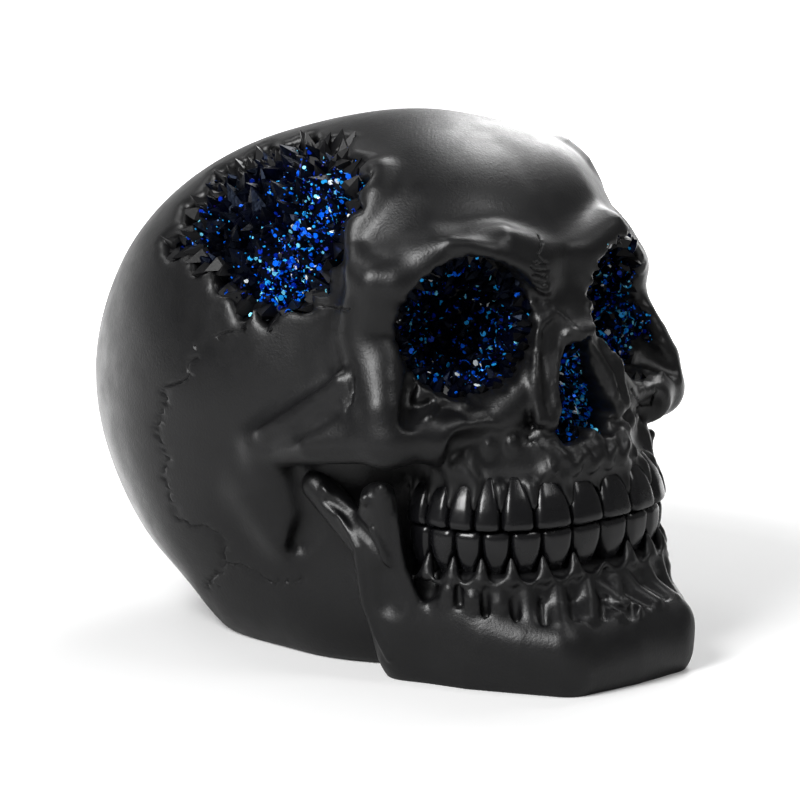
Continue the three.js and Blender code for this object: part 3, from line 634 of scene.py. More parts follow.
def surface_net(values, marks):
    """Vertices and quads of the zero surface of a sampled field, one vertex in each crossed cell."""
    inside = values < 0
    nx, ny, nz = values.shape
    corners = [inside[i:nx - 1 + i, j:ny - 1 + j, k:nz - 1 + k] for i, j, k in np.ndindex(2, 2, 2)]
    total = sum(corner.astype(np.int8) for corner in corners)
    cells = np.argwhere((total > 0) & (total < 8))
    number = np.full(total.shape, -1)
    number[tuple(cells.T)] = np.arange(len(cells))
    places, hits = np.zeros(cells.shape), np.zeros(len(cells))
    along = np.eye(3, dtype=int)
    for axis, u, v in np.ndindex(3, 2, 2):
        a = cells + np.insert((u, v), axis, 0)
        b = a + along[axis]
        at_a, at_b = values[tuple(a.T)], values[tuple(b.T)]
        meets = (at_a < 0) != (at_b < 0)
        t = np.where(meets, at_a / np.where(meets, at_a - at_b, 1), 0)[:, None]
        from_a, from_b = [np.stack([m[i] for m, i in zip(marks, ends.T)], 1) for ends in (a, b)]
        places += np.where(meets[:, None], from_a + t * (from_b - from_a), 0)
        hits += meets
    quads = []
    for axis in range(3):
        first, second = [slice(1, -1)] * 3, [slice(1, -1)] * 3
        first[axis], second[axis] = slice(0, -1), slice(1, None)
        starts_inside = inside[tuple(first)]
        edges = np.argwhere(starts_inside != inside[tuple(second)])
        backwards = starts_inside[tuple(edges.T)] == (axis == 1)
        base = edges + 1 - along[axis]
        round_edge = [base - np.insert(step, axis, 0) for step in ((1, 1), (0, 1), (0, 0), (1, 0))]
        quad = np.stack([number[tuple(cell.T)] for cell in round_edge], 1)
        quad[backwards] = quad[backwards][:, ::-1]
        quads.append(quad)
    return places / hits[:, None], np.concatenate(quads)


def scene_object(name, data):
    made = bpy.data.objects.new(name, data)
    bpy.context.scene.collection.objects.link(made)
    return made


def set_smooth(made, smooth=True):
    made.data.polygons.foreach_set("use_smooth", [smooth] * len(made.data.polygons))


def mesh_object(name, places, faces, material):
    """A flat-shaded mesh from places in millimetres and faces of one size."""
    mesh = bpy.data.meshes.new(name)
    faces = np.asarray(faces)
    mesh.vertices.add(len(places))
    shifted = (np.asarray(places) + (0, ORIGIN_SETBACK, 0)) * MM
    mesh.vertices.foreach_set("co", shifted.astype(np.float32).ravel())
    mesh.loops.add(faces.size)
    mesh.loops.foreach_set("vertex_index", faces.ravel().astype(np.int32))
    mesh.polygons.add(len(faces))
    mesh.polygons.foreach_set("loop_start", (np.arange(len(faces)) * faces.shape[1]).astype(np.int32))
    mesh.update(calc_edges=True)
    mesh.validate()
    mesh.materials.append(material)
    made = scene_object(name, mesh)
    set_smooth(made, False)
    return made


def cast(distance_of, marks, name, material):
    """A casting, cut flat where it stands."""
    values = sampled(lambda p, spare: np.maximum(distance_of(p, spare), -p[:, 2]), marks)
    places, quads = surface_net(values, marks)
    places[:, 2] = places[:, 2].clip(0)
    made = mesh_object(name, places, quads, material)
    set_smooth(made)
    return made


def principled(name):
    material = bpy.data.materials.new(name)
    material.use_nodes = True
    tree = material.node_tree
    return material, tree, tree.nodes["Principled BSDF"]


def fill(tree, node, sockets):
    """Sets each named input of a node, or links it to the output given for it."""
    for key, value in sockets.items():
        if isinstance(value, bpy.types.NodeSocket):
            tree.links.new(value, node.inputs[key])
        else:
            node.inputs[key].default_value = value


def added(tree, kind, output, sockets=None, **values):
    """An output of a new node."""
    made = tree.nodes.new(kind)
    for key, value in values.items():
        setattr(made, key, value)
    fill(tree, made, sockets or {})
    return made.outputs[output]


def noise(tree, scale, detail, roughness):
    where = added(tree, "ShaderNodeTexCoord", "Object")
    sockets = {"Vector": where, "Scale": scale, "Detail": detail, "Roughness": roughness}
    return added(tree, "ShaderNodeTexNoise", "Fac", sockets)


def ramp(tree, source, stops, interpolation="LINEAR"):
    made = tree.nodes.new("ShaderNodeValToRGB")
    made.color_ramp.interpolation = interpolation
    while len(made.color_ramp.elements) < len(stops):
        made.color_ramp.elements.new(0.5)
    for element, (place, colour) in zip(made.color_ramp.elements, stops):
        element.position = place
        element.color = (*colour, 1)
    tree.links.new(source, made.inputs["Fac"])
    return made.outputs["Color"]


def value_range(tree, source, low, high, from_low=0.3, from_high=0.7):
    sockets = {"Value": source, "To Min": low, "To Max": high, "From Min": from_low, "From Max": from_high}
    return added(tree, "ShaderNodeMapRange", "Result", sockets)


def coated(name, cloud, tones, patches, rough, grain, height, specular, tint=(1, 1, 1, 1)):
    """A coat whose colour, sheen and fine grain follow noises, each a scale, a detail and a roughness."""
    material, tree, shader = principled(name)
    relief = {"Height": noise(tree, *grain), "Distance": height, "Strength": 1}
    fill(tree, shader, {
        "Base Color": ramp(tree, noise(tree, *cloud), tones),
        "Roughness": value_range(tree, noise(tree, *patches), *rough),
        "Normal": added(tree, "ShaderNodeBump", "Normal", relief),
        "Specular IOR Level": specular,
        "Specular Tint": tint,
    })
    return material


def resin(name, dark, light, rough, height, specular=0.5):
    """Cast black resin: cloudy colour, patchy sheen and a fine grain."""
    tones = ((0.3, dark), (0.75, light))
    return coated(name, (38, 4, 0.6), tones, (140, 5, 0.65), rough, (1500, 3, 0.6), height, specular)


SATIN = resin("satin_resin", (0.0022, 0.0022, 0.0026), (0.004, 0.004, 0.0046), (0.34, 0.47), 0.00007)
GLOSSY = resin("gloss_resin", (0.003, 0.003, 0.0035), (0.005, 0.005, 0.006), (0.2, 0.3), 0.00003)
SHARD_TONES = ((0.0018, 0.0018, 0.0022), (0.003, 0.003, 0.004))
SHARD_RESIN = resin("shard_resin", *SHARD_TONES, (0.34, 0.46), 0.00003, 0.3)

# Druse points: dark glassy resin, navy in patches
CRYSTAL_TONES = (
    (0.45, (0.0006, 0.0008, 0.002)),
    (0.62, (0.0006, 0.0009, 0.005)),
    (0.78, (0.0008, 0.002, 0.018)),
)
CRYSTAL = coated(
    "druse_crystal", (120, 3, 0.6), CRYSTAL_TONES, (400, 3, 0.6), (0.22, 0.42), (900, 2, 0.5), 0.0001,
    0.1, (0.5, 0.65, 1, 1),
)
FLAKE_TONES = (
    (0.0, (0.0, 0.002, 0.03)),
    (0.3, (0.012, 0.003, 0.12)),
    (0.42, (0.0, 0.02, 0.4)),
    (0.58, (0.0, 0.14, 1.0)),
    (0.76, (0.02, 0.42, 1.0)),
    (0.89, (0.2, 0.75, 1.0)),
    (0.96, (0.9, 0.97, 1.0)),
)


def flake_material():
    """Glitter flakes, each with a tone of its own."""
    material, tree, shader = principled("blue_glitter")
    tone = added(tree, "ShaderNodeAttribute", "Fac", attribute_name="tone")
    fill(tree, shader, {
        "Base Color": ramp(tree, tone, FLAKE_TONES, "CONSTANT"),
        "Roughness": value_range(tree, noise(tree, 2500, 2, 0.5), 0.2, 0.4),
        "Metallic": 0.15,
        "Specular Tint": (0.3, 0.55, 1, 1),
    })
    return material


FLAKE = flake_material()

# The two castings
SHELL_MARKS = (
    even_marks((-61, 61, 0.92)),
    even_marks((-72, -22, 0.8), (-22, 82, 1.9)),
    even_marks((-2, 38, 1.7), (38, 106, 0.86), (106, 131, 1.7)),
)
JAW_MARKS = (even_marks((-50, 50, 0.55)), even_marks((-84, -8, 0.55)), even_marks((-2, 52, 0.55)))
shell = cast(skull_distance, SHELL_MARKS, "skull_shell", SATIN)
jaw = cast(jaw_distance, JAW_MARKS, "jaw_shell", SATIN)


# Fine cracks, as paths of pixels of the photograph
SIDE_CRACKS = (
    ((242, 331), (228, 331), (217, 334), (214, 341)),
    (
        (195, 347), (197, 356), (190, 361), (186, 367), (189, 373), (183, 381), (171, 384), (163, 390),
        (167, 398), (163, 405), (162, 412), (159, 422), (156, 432), (160, 441), (165, 451), (169, 459),
        (164, 469), (164, 479), (169, 490), (169, 497), (174, 508), (177, 520), (185, 521), (192, 527),
        (202, 526), (209, 529), (219, 534), (225, 545), (223, 553), (225, 562), (223, 572), (216, 575),
        (221, 589),
    ),
    (
        (225, 562), (235, 565), (245, 567), (258, 572), (262, 577), (272, 584), (282, 582), (295, 581),
        (308, 578),
    ),
    ((216, 575), (207, 584), (206, 589)),
    ((308, 305), (330, 307), (352, 310)),
)
BROW_CRACK = ((538, 235), (541, 241), (542, 246), (538, 252), (539, 257), (544, 262))
CHEEK_CRACKS = (
    ((632, 389), (636, 398), (641, 405), (636, 411)),
    ((641, 405), (650, 405), (653, 395), (655, 386)),
)
GLABELLA_CUTS = (
    ((533, 262), (540, 264), (548, 263)),
    ((531, 268), (538, 271), (549, 270)),
    ((534, 275), (541, 277), (549, 276)),
    ((534, 282), (540, 284), (550, 282)),
    ((538, 289), (544, 290), (549, 289)),
    ((545, 262), (549, 270), (546, 277), (550, 284), (547, 291)),
)
CRACK_WIDTH = 0.24
CRACK_DEPTH = 0.6
CRACK_SWING = 0.15
CRACK_REACH = 1.1
CRACK_KNOT_SPACING = 0.9
CRACK_POINT_SPACING = 0.2
CRACK_LEAST_MOVE = 0.01
CRACK_CUTS = 3


def spaced(ends, spacing, run=None):
    """Points at an even spacing along a path, with the run to each."""
    if run is None:
        run = np.concatenate([[0], np.cumsum(np.linalg.norm(np.diff(ends, axis=0), axis=1))])
    at = np.arange(0, run[-1], spacing)
    return np.stack([np.interp(at, run, axis) for axis in ends.T], 1), at


def crack_points(pixels):
    """Close points along a crack on the skull's surface, a little jagged."""
    path, knots = spaced(seen_on(bare_shell, pixels), CRACK_KNOT_SPACING)
    path += random.normal(0, CRACK_SWING, path.shape)
    path, _ = spaced(path, CRACK_POINT_SPACING, knots)
    for _ in range(3):
        path -= bare_shell(path)[:, None] * gradient(bare_shell, path)
    return path


def crack(made, path):
    """Splits the faces along a path and presses a narrow groove into them."""
    tree = KDTree(len(path))
    shifted = (path + (0, ORIGIN_SETBACK, 0)) * MM
    for i, p in enumerate(shifted):
        tree.insert(p, i)
    tree.balance()
    low, high = shifted.min(0) - CRACK_REACH * MM, shifted.max(0) + CRACK_REACH * MM
    build = bmesh.new()
    build.from_mesh(made.data)

    def away(vert):
        """Millimetres to the path, or far outside the box round it."""
        inside = all(low[i] < vert.co[i] < high[i] for i in range(3))
        return tree.find(vert.co)[2] / MM if inside else FAR

    near = {vert for vert in build.verts if away(vert) < CRACK_REACH}
    edges = [edge for edge in build.edges if edge.verts[0] in near and edge.verts[1] in near]
    bmesh.ops.subdivide_edges(build, edges=edges, cuts=CRACK_CUTS, use_grid_fill=True)
    build.normal_update()
    moves = []
    for vert in build.verts:
        depth = CRACK_DEPTH * math.exp(-((away(vert) / CRACK_WIDTH) ** 2))
        if depth > CRACK_LEAST_MOVE:
            moves.append((vert, vert.normal * depth * MM))
    for vert, move in moves:
        vert.co -= move
    build.to_mesh(made.data)
    build.free()
    set_smooth(made)


side_paths = [crack_points(pixels) for pixels in SIDE_CRACKS]
front_paths = [crack_points(pixels) for pixels in (BROW_CRACK, *CHEEK_CRACKS, *GLABELLA_CUTS)]
crack(shell, np.concatenate([*side_paths, *front_paths]))
crack(shell, np.concatenate(side_paths[1:]) * (-1, 1, 1))


# Teeth: each profile is a height from the bite and a width or a thickness, as shares
UPPER_TOOTH_PROFILE = (
    (0, 0.9), (0.03, 0.96), (0.12, 1), (0.35, 0.97), (0.6, 0.86), (0.8, 0.66), (0.92, 0.46), (1.05, 0.3),
)
LOWER_TOOTH_PROFILE = (
    (0, 0.86), (0.03, 0.95), (0.1, 1), (0.3, 0.97), (0.55, 0.84), (0.75, 0.64), (0.9, 0.42), (1.05, 0.25),
)
THICKNESS_PROFILE = ((0, 0.55), (0.04, 0.72), (0.15, 0.86), (0.4, 1), (0.65, 1), (0.85, 0.85), (1.05, 0.6))
TOOTH_RINGS = 16
TOOTH_SIDES = 36
TOOTH_ROUNDNESS = (0.5, 0.62)
BITE_GAP = 0.25


def profile_at(profile, heights):
    return np.interp(heights, *zip(*profile))


def tooth(share, width, height, profile, upward):
    """Rings of a tooth from its bite to its root."""
    (x, y), (out_x, out_y) = arch_place(share)
    levels = np.concatenate([[0], np.linspace(0.02, 1.05, TOOTH_RINGS - 1) ** 1.15])
    half_width = profile_at(profile, levels) * (width + TOOTH_OVERLAP) / 2
    half_thickness = profile_at(THICKNESS_PROFILE, levels) * TOOTH_THICKNESS / 2
    angle = np.linspace(0, 2 * math.pi, TOOTH_SIDES, endpoint=False)
    cos, sin = np.cos(angle), np.sin(angle)
    across = np.sign(cos) * np.abs(cos) ** TOOTH_ROUNDNESS[0]
    outward = np.sign(sin) * np.abs(sin) ** TOOTH_ROUNDNESS[1]
    lean = math.tan(math.radians(UPPER_TOOTH_LEAN if upward else LOWER_TOOTH_LEAN))
    flare = UPPER_TOOTH_FLARE if upward else 0
    along_x, along_y = -out_y, out_x
    places = []
    for level, wide, thick in zip(levels, half_width, half_thickness):
        rise = level * height
        side = across * wide
        out = outward * thick + flare - lean * rise
        z = BITE_HEIGHT + (BITE_GAP + rise) * (1 if upward else -1)
        ring = (x + side * along_x + out * out_x, y + side * along_y + out * out_y, np.full(TOOTH_SIDES, z))
        places.append(np.stack(ring, 1))
    return np.concatenate(places)


def tooth_row(name, width_shares, height, profile, upward):
    """All the teeth of one row as one mesh of forms closed at both ends."""
    build = bmesh.new()
    for start, end in tooth_spans(width_shares):
        share, width = (start + end) / 2, (end - start) * ARCH_RUN[-1]
        places = tooth(share, width, height, profile, upward)
        for mirror in (1, -1):
            mirrored = places * (mirror, 1, 1) + (0, ORIGIN_SETBACK, 0)
            made = [build.verts.new(Vector(p) * MM) for p in mirrored]
            for ring in range(0, len(made) - TOOTH_SIDES, TOOTH_SIDES):
                for step in range(TOOTH_SIDES):
                    a, b = ring + step, ring + (step + 1) % TOOTH_SIDES
                    build.faces.new([made[i] for i in (a, b, b + TOOTH_SIDES, a + TOOTH_SIDES)])
            build.faces.new(made[:TOOTH_SIDES])
            build.faces.new(made[-TOOTH_SIDES:])
    bmesh.ops.recalc_face_normals(build, faces=build.faces)
    mesh = bpy.data.meshes.new(name)
    build.to_mesh(mesh)
    build.free()
    mesh.materials.append(GLOSSY)
    made = scene_object(name, mesh)
    smooth = made.modifiers.new("round", "SUBSURF")
    smooth.levels = smooth.render_levels = 1
    set_smooth(made)
    return made


upper_teeth = tooth_row("upper_teeth", UPPER_WIDTH_SHARES, UPPER_TOOTH_HEIGHT, UPPER_TOOTH_PROFILE, True)
lower_teeth = tooth_row("lower_teeth", LOWER_WIDTH_SHARES, LOWER_TOOTH_HEIGHT, LOWER_TOOTH_PROFILE, False)


# Druse: crystal points and glitter flakes
GOLDEN_TURN = math.pi * (3 - math.sqrt(5))
SPIKE = ((-0.25, 1), (0, 1))
POINT = ((-0.35, 0.9), (0.1, 1), (0.55, 0.75))
SHARD_SIDES = 4
SHARD_FLATNESS = 0.75

# Least and greatest lengths, then widths
TEMPLE_POINT_SIZES = ((3.6, 5.6), (2.6, 4.4))
TEMPLE_SHARD_SIZES = ((4, 6), (5.4, 7.4))
EYE_POINT_SIZES = ((2.4, 4.6), (2.4, 4))
EYE_SHARD_SIZES = ((3, 4.4), (4, 5.6))
NOSE_BACK_SIZES = ((2.6, 4.6), (2, 3.4))
NOSE_WALL_SIZES = ((1.8, 3), (1.6, 2.8))


def side_axes(way):
    helper = np.where(np.abs(way[:, 2:3]) < 0.9, (0.0, 0.0, 1.0), (1.0, 0.0, 0.0))
    u = unit(np.cross(helper, way))
    return u, np.cross(way, u)


def copies(corners, faces):
    """Many copies of one small form as one mesh, from each of its corners over all the copies."""
    stacked = np.stack(corners, 1)
    index = (np.arange(len(stacked)) * stacked.shape[1])[:, None, None] + np.array(faces)[None]
    return stacked.reshape(-1, 3), index.reshape(-1, 3)


def points_of(places, ways, lengths, widths, levels=POINT, sides=6, flat=1.0):
    """Crystal points that narrow to an off-centre tip. Each level is a height and a width as shares."""
    u, v = side_axes(ways)
    turn = random.uniform(0, 2 * math.pi, len(places))
    corners, faces = [], []
    for height, size in levels:
        for step in range(sides):
            angle = turn + 2 * math.pi * step / sides
            radius = (widths / 2 * size)[:, None]
            ring = np.cos(angle)[:, None] * u + flat * np.sin(angle)[:, None] * v
            corners.append(places + ring * radius + ways * (height * lengths)[:, None])
    tip_shift = random.normal(0, 0.1, (len(places), 2)) * widths[:, None]
    corners.append(places + ways * lengths[:, None] + tip_shift[:, :1] * u + tip_shift[:, 1:] * v)
    corners.append(places + ways * (levels[0][0] * lengths)[:, None])
    tip, foot = len(corners) - 2, len(corners) - 1
    for ring in range(len(levels) - 1):
        for step in range(sides):
            a, b = ring * sides + step, ring * sides + (step + 1) % sides
            faces += [(a, b, b + sides), (a, b + sides, a + sides)]
    last = (len(levels) - 1) * sides
    for step in range(sides):
        after = (step + 1) % sides
        faces += [(last + step, last + after, tip), (after, step, foot)]
    return copies(corners, faces)


def drawn(sizes, count):
    """Random lengths and widths, each between two limits."""
    return [random.uniform(low, high, count) for low, high in sizes]


def shards_of(places, ways, sizes):
    return points_of(places, ways, *drawn(sizes, len(places)), SPIKE, SHARD_SIDES, SHARD_FLATNESS)


def flakes_on(verts, faces, count, size, weight, thickness=0.1, tilt=0.3):
    """Hexagonal glitter flakes lying on the faces of a druse."""
    corners = verts[faces]
    normal = np.cross(corners[:, 1] - corners[:, 0], corners[:, 2] - corners[:, 0])
    area = np.linalg.norm(normal, axis=1) * weight(corners.mean(1))
    chosen = random.choice(len(faces), count, p=area / area.sum())
    r = np.sqrt(random.uniform(0, 1, count))[:, None]
    s = random.uniform(0, 1, count)[:, None]
    a, b, c = corners[chosen, 0], corners[chosen, 1], corners[chosen, 2]
    middle = a * (1 - r) + b * r * (1 - s) + c * r * s
    way = unit(unit(normal[chosen]) + random.normal(0, tilt, (count, 3)))
    u, v = side_axes(way)
    turn = random.uniform(0, math.pi, count)
    radius = random.uniform(0.55, 1.35, count) * size / 2
    rings = []
    for height in (-thickness, thickness):
        for step in range(6):
            angle = turn + math.pi * step / 3
            ring = (np.cos(angle) * radius)[:, None] * u + (np.sin(angle) * radius)[:, None] * v
            rings.append(middle + ring + way * height)
    tris = [(0, k + 1, k) for k in range(1, 5)] + [(6, 6 + k, 7 + k) for k in range(1, 5)]
    for step in range(6):
        after = (step + 1) % 6
        tris += [(step, after, 6 + after), (step, 6 + after, 6 + step)]
    return *copies(rings, tris), len(tris)


def glitter(name, verts, faces, sets, weight):
    """Flakes of one druse. Each set is a count, a size and the lowest and highest tone."""
    groups, tones = [], []
    for count, size, low, high in sets:
        places, tris, per = flakes_on(verts, faces, count, size, weight)
        groups.append((places, tris))
        tones.append(np.repeat(random.uniform(low, high, count), per))
    made = mesh_object(name, *joined(groups), FLAKE)
    tone = made.data.attributes.new("tone", "FLOAT", "FACE")
    tone.data.foreach_set("value", np.concatenate(tones).astype(np.float32))
    return made


def clusters(distance_of, pixels, spread, ground):
    """A density that is high round spots of the photograph."""
    spots = seen_on(distance_of, pixels)

    def weight(p):
        away = ((p[:, None] - spots[None]) ** 2).sum(2)
        return ground + np.exp(-away / (2 * spread * spread)).sum(1)

    return weight


def tilted(ways, amount):
    return unit(ways + random.normal(0, amount, ways.shape))


def temple_floor(uv, depth):
    """Places on the braincase sunk by a depth, straight under places on the temple's plane."""
    q = np.concatenate([uv, np.full((len(uv), 1), 9.0)], 1)
    for _ in range(30):
        q[:, 2] -= STRIDE * (bare_shell(temple_places(q)) + depth)
    return temple_places(q)


def outline_points(outline, spacing):
    return spaced(np.concatenate([outline, outline[:1]]), spacing)[0]


def scattered(outline, inset, low, high, count, gap):
    """Random places inside an outline, no two closer than a gap."""
    chosen = []
    for p in random.uniform(low, high, (count, 2)):
        apart = all((p[0] - c[0]) ** 2 + (p[1] - c[1]) ** 2 > gap * gap for c in chosen)
        if apart and outline_distance(p[None], outline)[0] < -inset:
            chosen.append(p)
    return np.array(chosen)


def joined(groups):
    verts, faces, start = [], [], 0
    for v, f in groups:
        verts.append(v)
        faces.append(f + start)
        start += len(v)
    return np.concatenate(verts), np.concatenate(faces)


TEMPLE_RECESS = 3.4
TEMPLE_BED_THICKNESS = 4.5
TEMPLE_CRYSTAL_LENGTH = 7
TEMPLE_CRYSTAL_WIDTH = 8.5
TEMPLE_CRYSTAL_SPACING = 6.2
TEMPLE_CRYSTAL_INSET = 3
TEMPLE_CRYSTAL_LEAN = math.radians(28)
TEMPLE_SPREAD_SHARES = (0.618, 0.414, 0.732, 0.286)
TEMPLE_CLUSTERS = (
    (330, 180), (345, 155), (300, 175), (285, 290), (300, 275), (270, 300), (320, 200), (345, 190),
    (185, 225), (290, 250), (265, 285), (355, 175), (310, 230),
)

# Rows of black shards along the broken edge: how far inside it, how deep, their lean outwards and their gap
TEMPLE_RIM_ROWS = ((2, 2, 1.1, 4), (4.4, 3, 0.3, 4.4), (7.4, 3.4, 0, 4.6))
TEMPLE_RIM_BAND = (-0.75, 1.1)
TEMPLE_RIM_LEAST = 0.2

# The ground between the crystals: the step and the spans of its grid, and how far it goes past the outline
TEMPLE_BED_STEP = 1.3
TEMPLE_BED_SPANS = ((-36, 36), (-30, 32))
TEMPLE_BED_OVERLAP = 1.5

# Small crystals of a bed: how far inside the outline, two corners of a rectangle, the tries in it and the gap
TEMPLE_SCATTER = (0.8, (-34, -30), (34, 30), 5000, 2.0)
NOSE_SCATTER = (0.3, (-10, NOSE_FLOOR), (10, NOSE_FLOOR + NOSE_HEIGHT), 900, 1.8)

# Sets of flakes: a count, a size in millimetres, and the lowest and highest tone
TEMPLE_FLAKES = ((1800, 1.15, 0.42, 1), (5000, 0.45, 0, 0.9))
EYE_FLAKES = ((620, 1.2, 0.52, 1), (1500, 0.45, 0, 0.9))
NOSE_FLAKES = ((600, 1.15, 0.5, 1), (900, 0.45, 0, 0.9))


def temple_main():
    """The large crystals, on the spiral of the solids and with their lengths, widths and leans."""
    uv, ways, lengths, widths = [], [], [], []
    for step in range(300):
        radius = TEMPLE_CRYSTAL_SPACING * math.sqrt((step + 0.5) / math.pi)
        p = radius * np.array((math.cos(step * GOLDEN_TURN), math.sin(step * GOLDEN_TURN)))
        outside = outline_distance(p[None], TEMPLE_OUTLINE)[0] > -TEMPLE_CRYSTAL_INSET
        if outside or radius > 0.6 * TEMPLE_LENGTH:
            continue
        long_share, wide_share, lean_share, turn_share = [step * share % 1 for share in TEMPLE_SPREAD_SHARES]
        lean, turn = TEMPLE_CRYSTAL_LEAN * lean_share, 2 * math.pi * turn_share
        uv.append(p)
        ways.append((math.sin(lean) * math.sin(turn), -math.sin(lean) * math.cos(turn), math.cos(lean)))
        lengths.append(TEMPLE_CRYSTAL_LENGTH * (0.75 + 0.5 * long_share))
        widths.append(TEMPLE_CRYSTAL_WIDTH * (0.8 + 0.4 * wide_share))
    seats = temple_floor(np.array(uv), TEMPLE_RECESS) - TEMPLE_OUT * TEMPLE_BED_THICKNESS / 2
    return points_of(seats, np.array(ways) @ TEMPLE_AXES, np.array(lengths), np.array(widths), SPIKE, 5)


def temple_bed():
    """The dark ground between the crystals."""
    x, y = np.meshgrid(*[np.arange(*span, TEMPLE_BED_STEP) for span in TEMPLE_BED_SPANS], indexing="ij")
    uv = np.stack([x.ravel(), y.ravel()], 1)
    keep = (outline_distance(uv, TEMPLE_OUTLINE) < TEMPLE_BED_OVERLAP).reshape(x.shape)
    floor = temple_floor(uv, TEMPLE_RECESS + 0.6 + random.uniform(0, 0.8, len(uv)))
    number = np.arange(x.size).reshape(x.shape)
    whole = keep[:-1, :-1] & keep[1:, :-1] & keep[1:, 1:] & keep[:-1, 1:]
    a, b, c, d = [n[whole] for n in (number[:-1, :-1], number[1:, :-1], number[1:, 1:], number[:-1, 1:])]
    return floor, np.concatenate([np.stack([a, b, c], 1), np.stack([a, c, d], 1)])


def temple_druse():
    uv = scattered(TEMPLE_OUTLINE, *TEMPLE_SCATTER)
    floor = temple_floor(uv, TEMPLE_RECESS + 1.8)
    ways = tilted(gradient(bare_shell, floor), 0.45)
    small = points_of(floor, ways, *drawn(TEMPLE_POINT_SIZES, len(floor)))
    return joined([temple_main(), temple_bed(), small])


def temple_rim():
    """The shards of the temple's edge. The inner rows stand only behind and above."""
    groups = []
    for inset, sink, outward, spacing in TEMPLE_RIM_ROWS:
        rim = outline_points(TEMPLE_OUTLINE, spacing)
        along = unit(np.roll(rim, -2, 0) - np.roll(rim, 2, 0))
        out = np.stack([along[:, 1], -along[:, 0]], 1)
        out *= np.sign((out * rim).sum(1, keepdims=True))
        band = TEMPLE_RIM_BAND[0] * rim[:, 0] / TEMPLE_LENGTH + TEMPLE_RIM_BAND[1] * rim[:, 1] / TEMPLE_HEIGHT
        if inset > TEMPLE_RIM_ROWS[0][0]:
            rim, out = rim[band > TEMPLE_RIM_LEAST], out[band > TEMPLE_RIM_LEAST]
        uv = rim - inset * out + random.normal(0, 0.5, rim.shape)
        floor = temple_floor(uv, sink + 1 + random.uniform(0, 0.8, len(uv)))
        flat_out = np.concatenate([out, np.zeros((len(out), 1))], 1) @ TEMPLE_AXES
        ways = tilted(unit(outward * flat_out + 0.75 * gradient(bare_shell, floor)), 0.22)
        groups.append(shards_of(floor, ways, TEMPLE_SHARD_SIZES))
    return joined(groups)


temple_verts, temple_faces = temple_druse()
temple_crystals = mesh_object("temple_druse", temple_verts, temple_faces, CRYSTAL)
temple_shards = mesh_object("temple_rim", *temple_rim(), SHARD_RESIN)
temple_weight = clusters(bare_shell, TEMPLE_CLUSTERS, 5.5, 0.14)
temple_glitter = glitter("temple_glitter", temple_verts, temple_faces, TEMPLE_FLAKES, temple_weight)

# How many places there are on a socket's wall, and how far they reach from its back
EYE_CRYSTAL_WALL = (520, 1.4)
EYE_RIM_WALL = (330, 1.5)

# How deep under the bare casting crystals start in the right and left sockets, and shards in both
EYE_CRYSTAL_DEPTHS = {-1: 2.4, 1: 1.4}
EYE_RIM_DEPTH = 0.8
EYE_RIM_BAND = 2.6
EYE_RIM_FADE = 14


def socket_wall(side, count, reach):
    """Even places on the wall of a socket, with the direction to its middle."""
    step = np.arange(count)
    height = 1 - (step + 0.5) / count * reach
    ring = np.sqrt(np.clip(1 - height * height, 0, 1))
    turn = GOLDEN_TURN * step + side
    x, y, z = (np.stack([ring * np.cos(turn), height, ring * np.sin(turn)], 1) * EYE_RADII).T
    if side > 0:
        x = x * np.where(x < 0, *LEFT_EYE_STRETCHES[:2])
        z = z * LEFT_EYE_STRETCHES[2] - LEFT_EYE_SLANT * x - LEFT_EYE_DROP
    wall = np.stack([x * EYE_COS - y * EYE_SIN, y * EYE_COS + x * EYE_SIN, z], 1) + EYE_MIDDLE
    inward = unit(EYE_MIDDLE + (0, 6, 0) - wall)
    return wall * (side, 1, 1), inward * (side, 1, 1)


def eye_druse(side):
    wall, inward = socket_wall(side, *EYE_CRYSTAL_WALL)
    keep = bare_shell(wall) < -EYE_CRYSTAL_DEPTHS[side]
    wall, inward = wall[keep], inward[keep]
    sizes = drawn(EYE_POINT_SIZES, len(wall))
    return points_of(wall - inward * 0.6, tilted(inward, 0.4), *sizes)


def eye_rim(side):
    """Black shards round the mouth of a socket, in a band twice as wide above and towards the nose."""
    wall, inward = socket_wall(side, *EYE_RIM_WALL)
    depth = bare_shell(wall)
    above, nosewards = wall[:, 2] - EYE_MIDDLE[2], EYE_MIDDLE[0] - np.abs(wall[:, 0])
    band = EYE_RIM_BAND + EYE_RIM_BAND * np.clip(above / EYE_RIM_FADE + nosewards / EYE_RIM_FADE, 0, 1)
    keep = (depth < -EYE_RIM_DEPTH) & (depth > -band)
    wall, inward = wall[keep], inward[keep]
    normal = gradient(bare_shell, wall)
    ways = tilted(unit(0.8 * normal + 0.45 * inward), 0.25)
    return shards_of(wall - normal * 2.2, ways, EYE_SHARD_SIZES)


EYE_CLUSTERS = {
    -1: (
        (405, 330), (415, 300), (420, 365), (440, 285), (445, 375), (470, 380), (485, 300), (500, 340),
        (490, 365),
    ),
    1: (
        (590, 262), (600, 275), (625, 285), (632, 310), (600, 300), (612, 345), (640, 350), (625, 365),
        (640, 330),
    ),
}
eye_pieces = []
for side, word in ((-1, "right"), (1, "left")):
    verts, faces = eye_druse(side)
    crystals = mesh_object(f"{word}_eye_druse", verts, faces, CRYSTAL)
    rim = mesh_object(f"{word}_eye_rim", *eye_rim(side), SHARD_RESIN)
    weight = clusters(skull_distance, EYE_CLUSTERS[side], 5, 0.14)
    flakes = glitter(f"{word}_eye_glitter", verts, faces, EYE_FLAKES, weight)
    eye_pieces.append((word, crystals, rim, flakes))


NOSE_WALL_DEPTHS = (3, 5.5, 8, 10.5)
NOSE_CLUSTERS = ((575, 350), (590, 365), (575, 385), (590, 400), (605, 410), (610, 390), (575, 415))


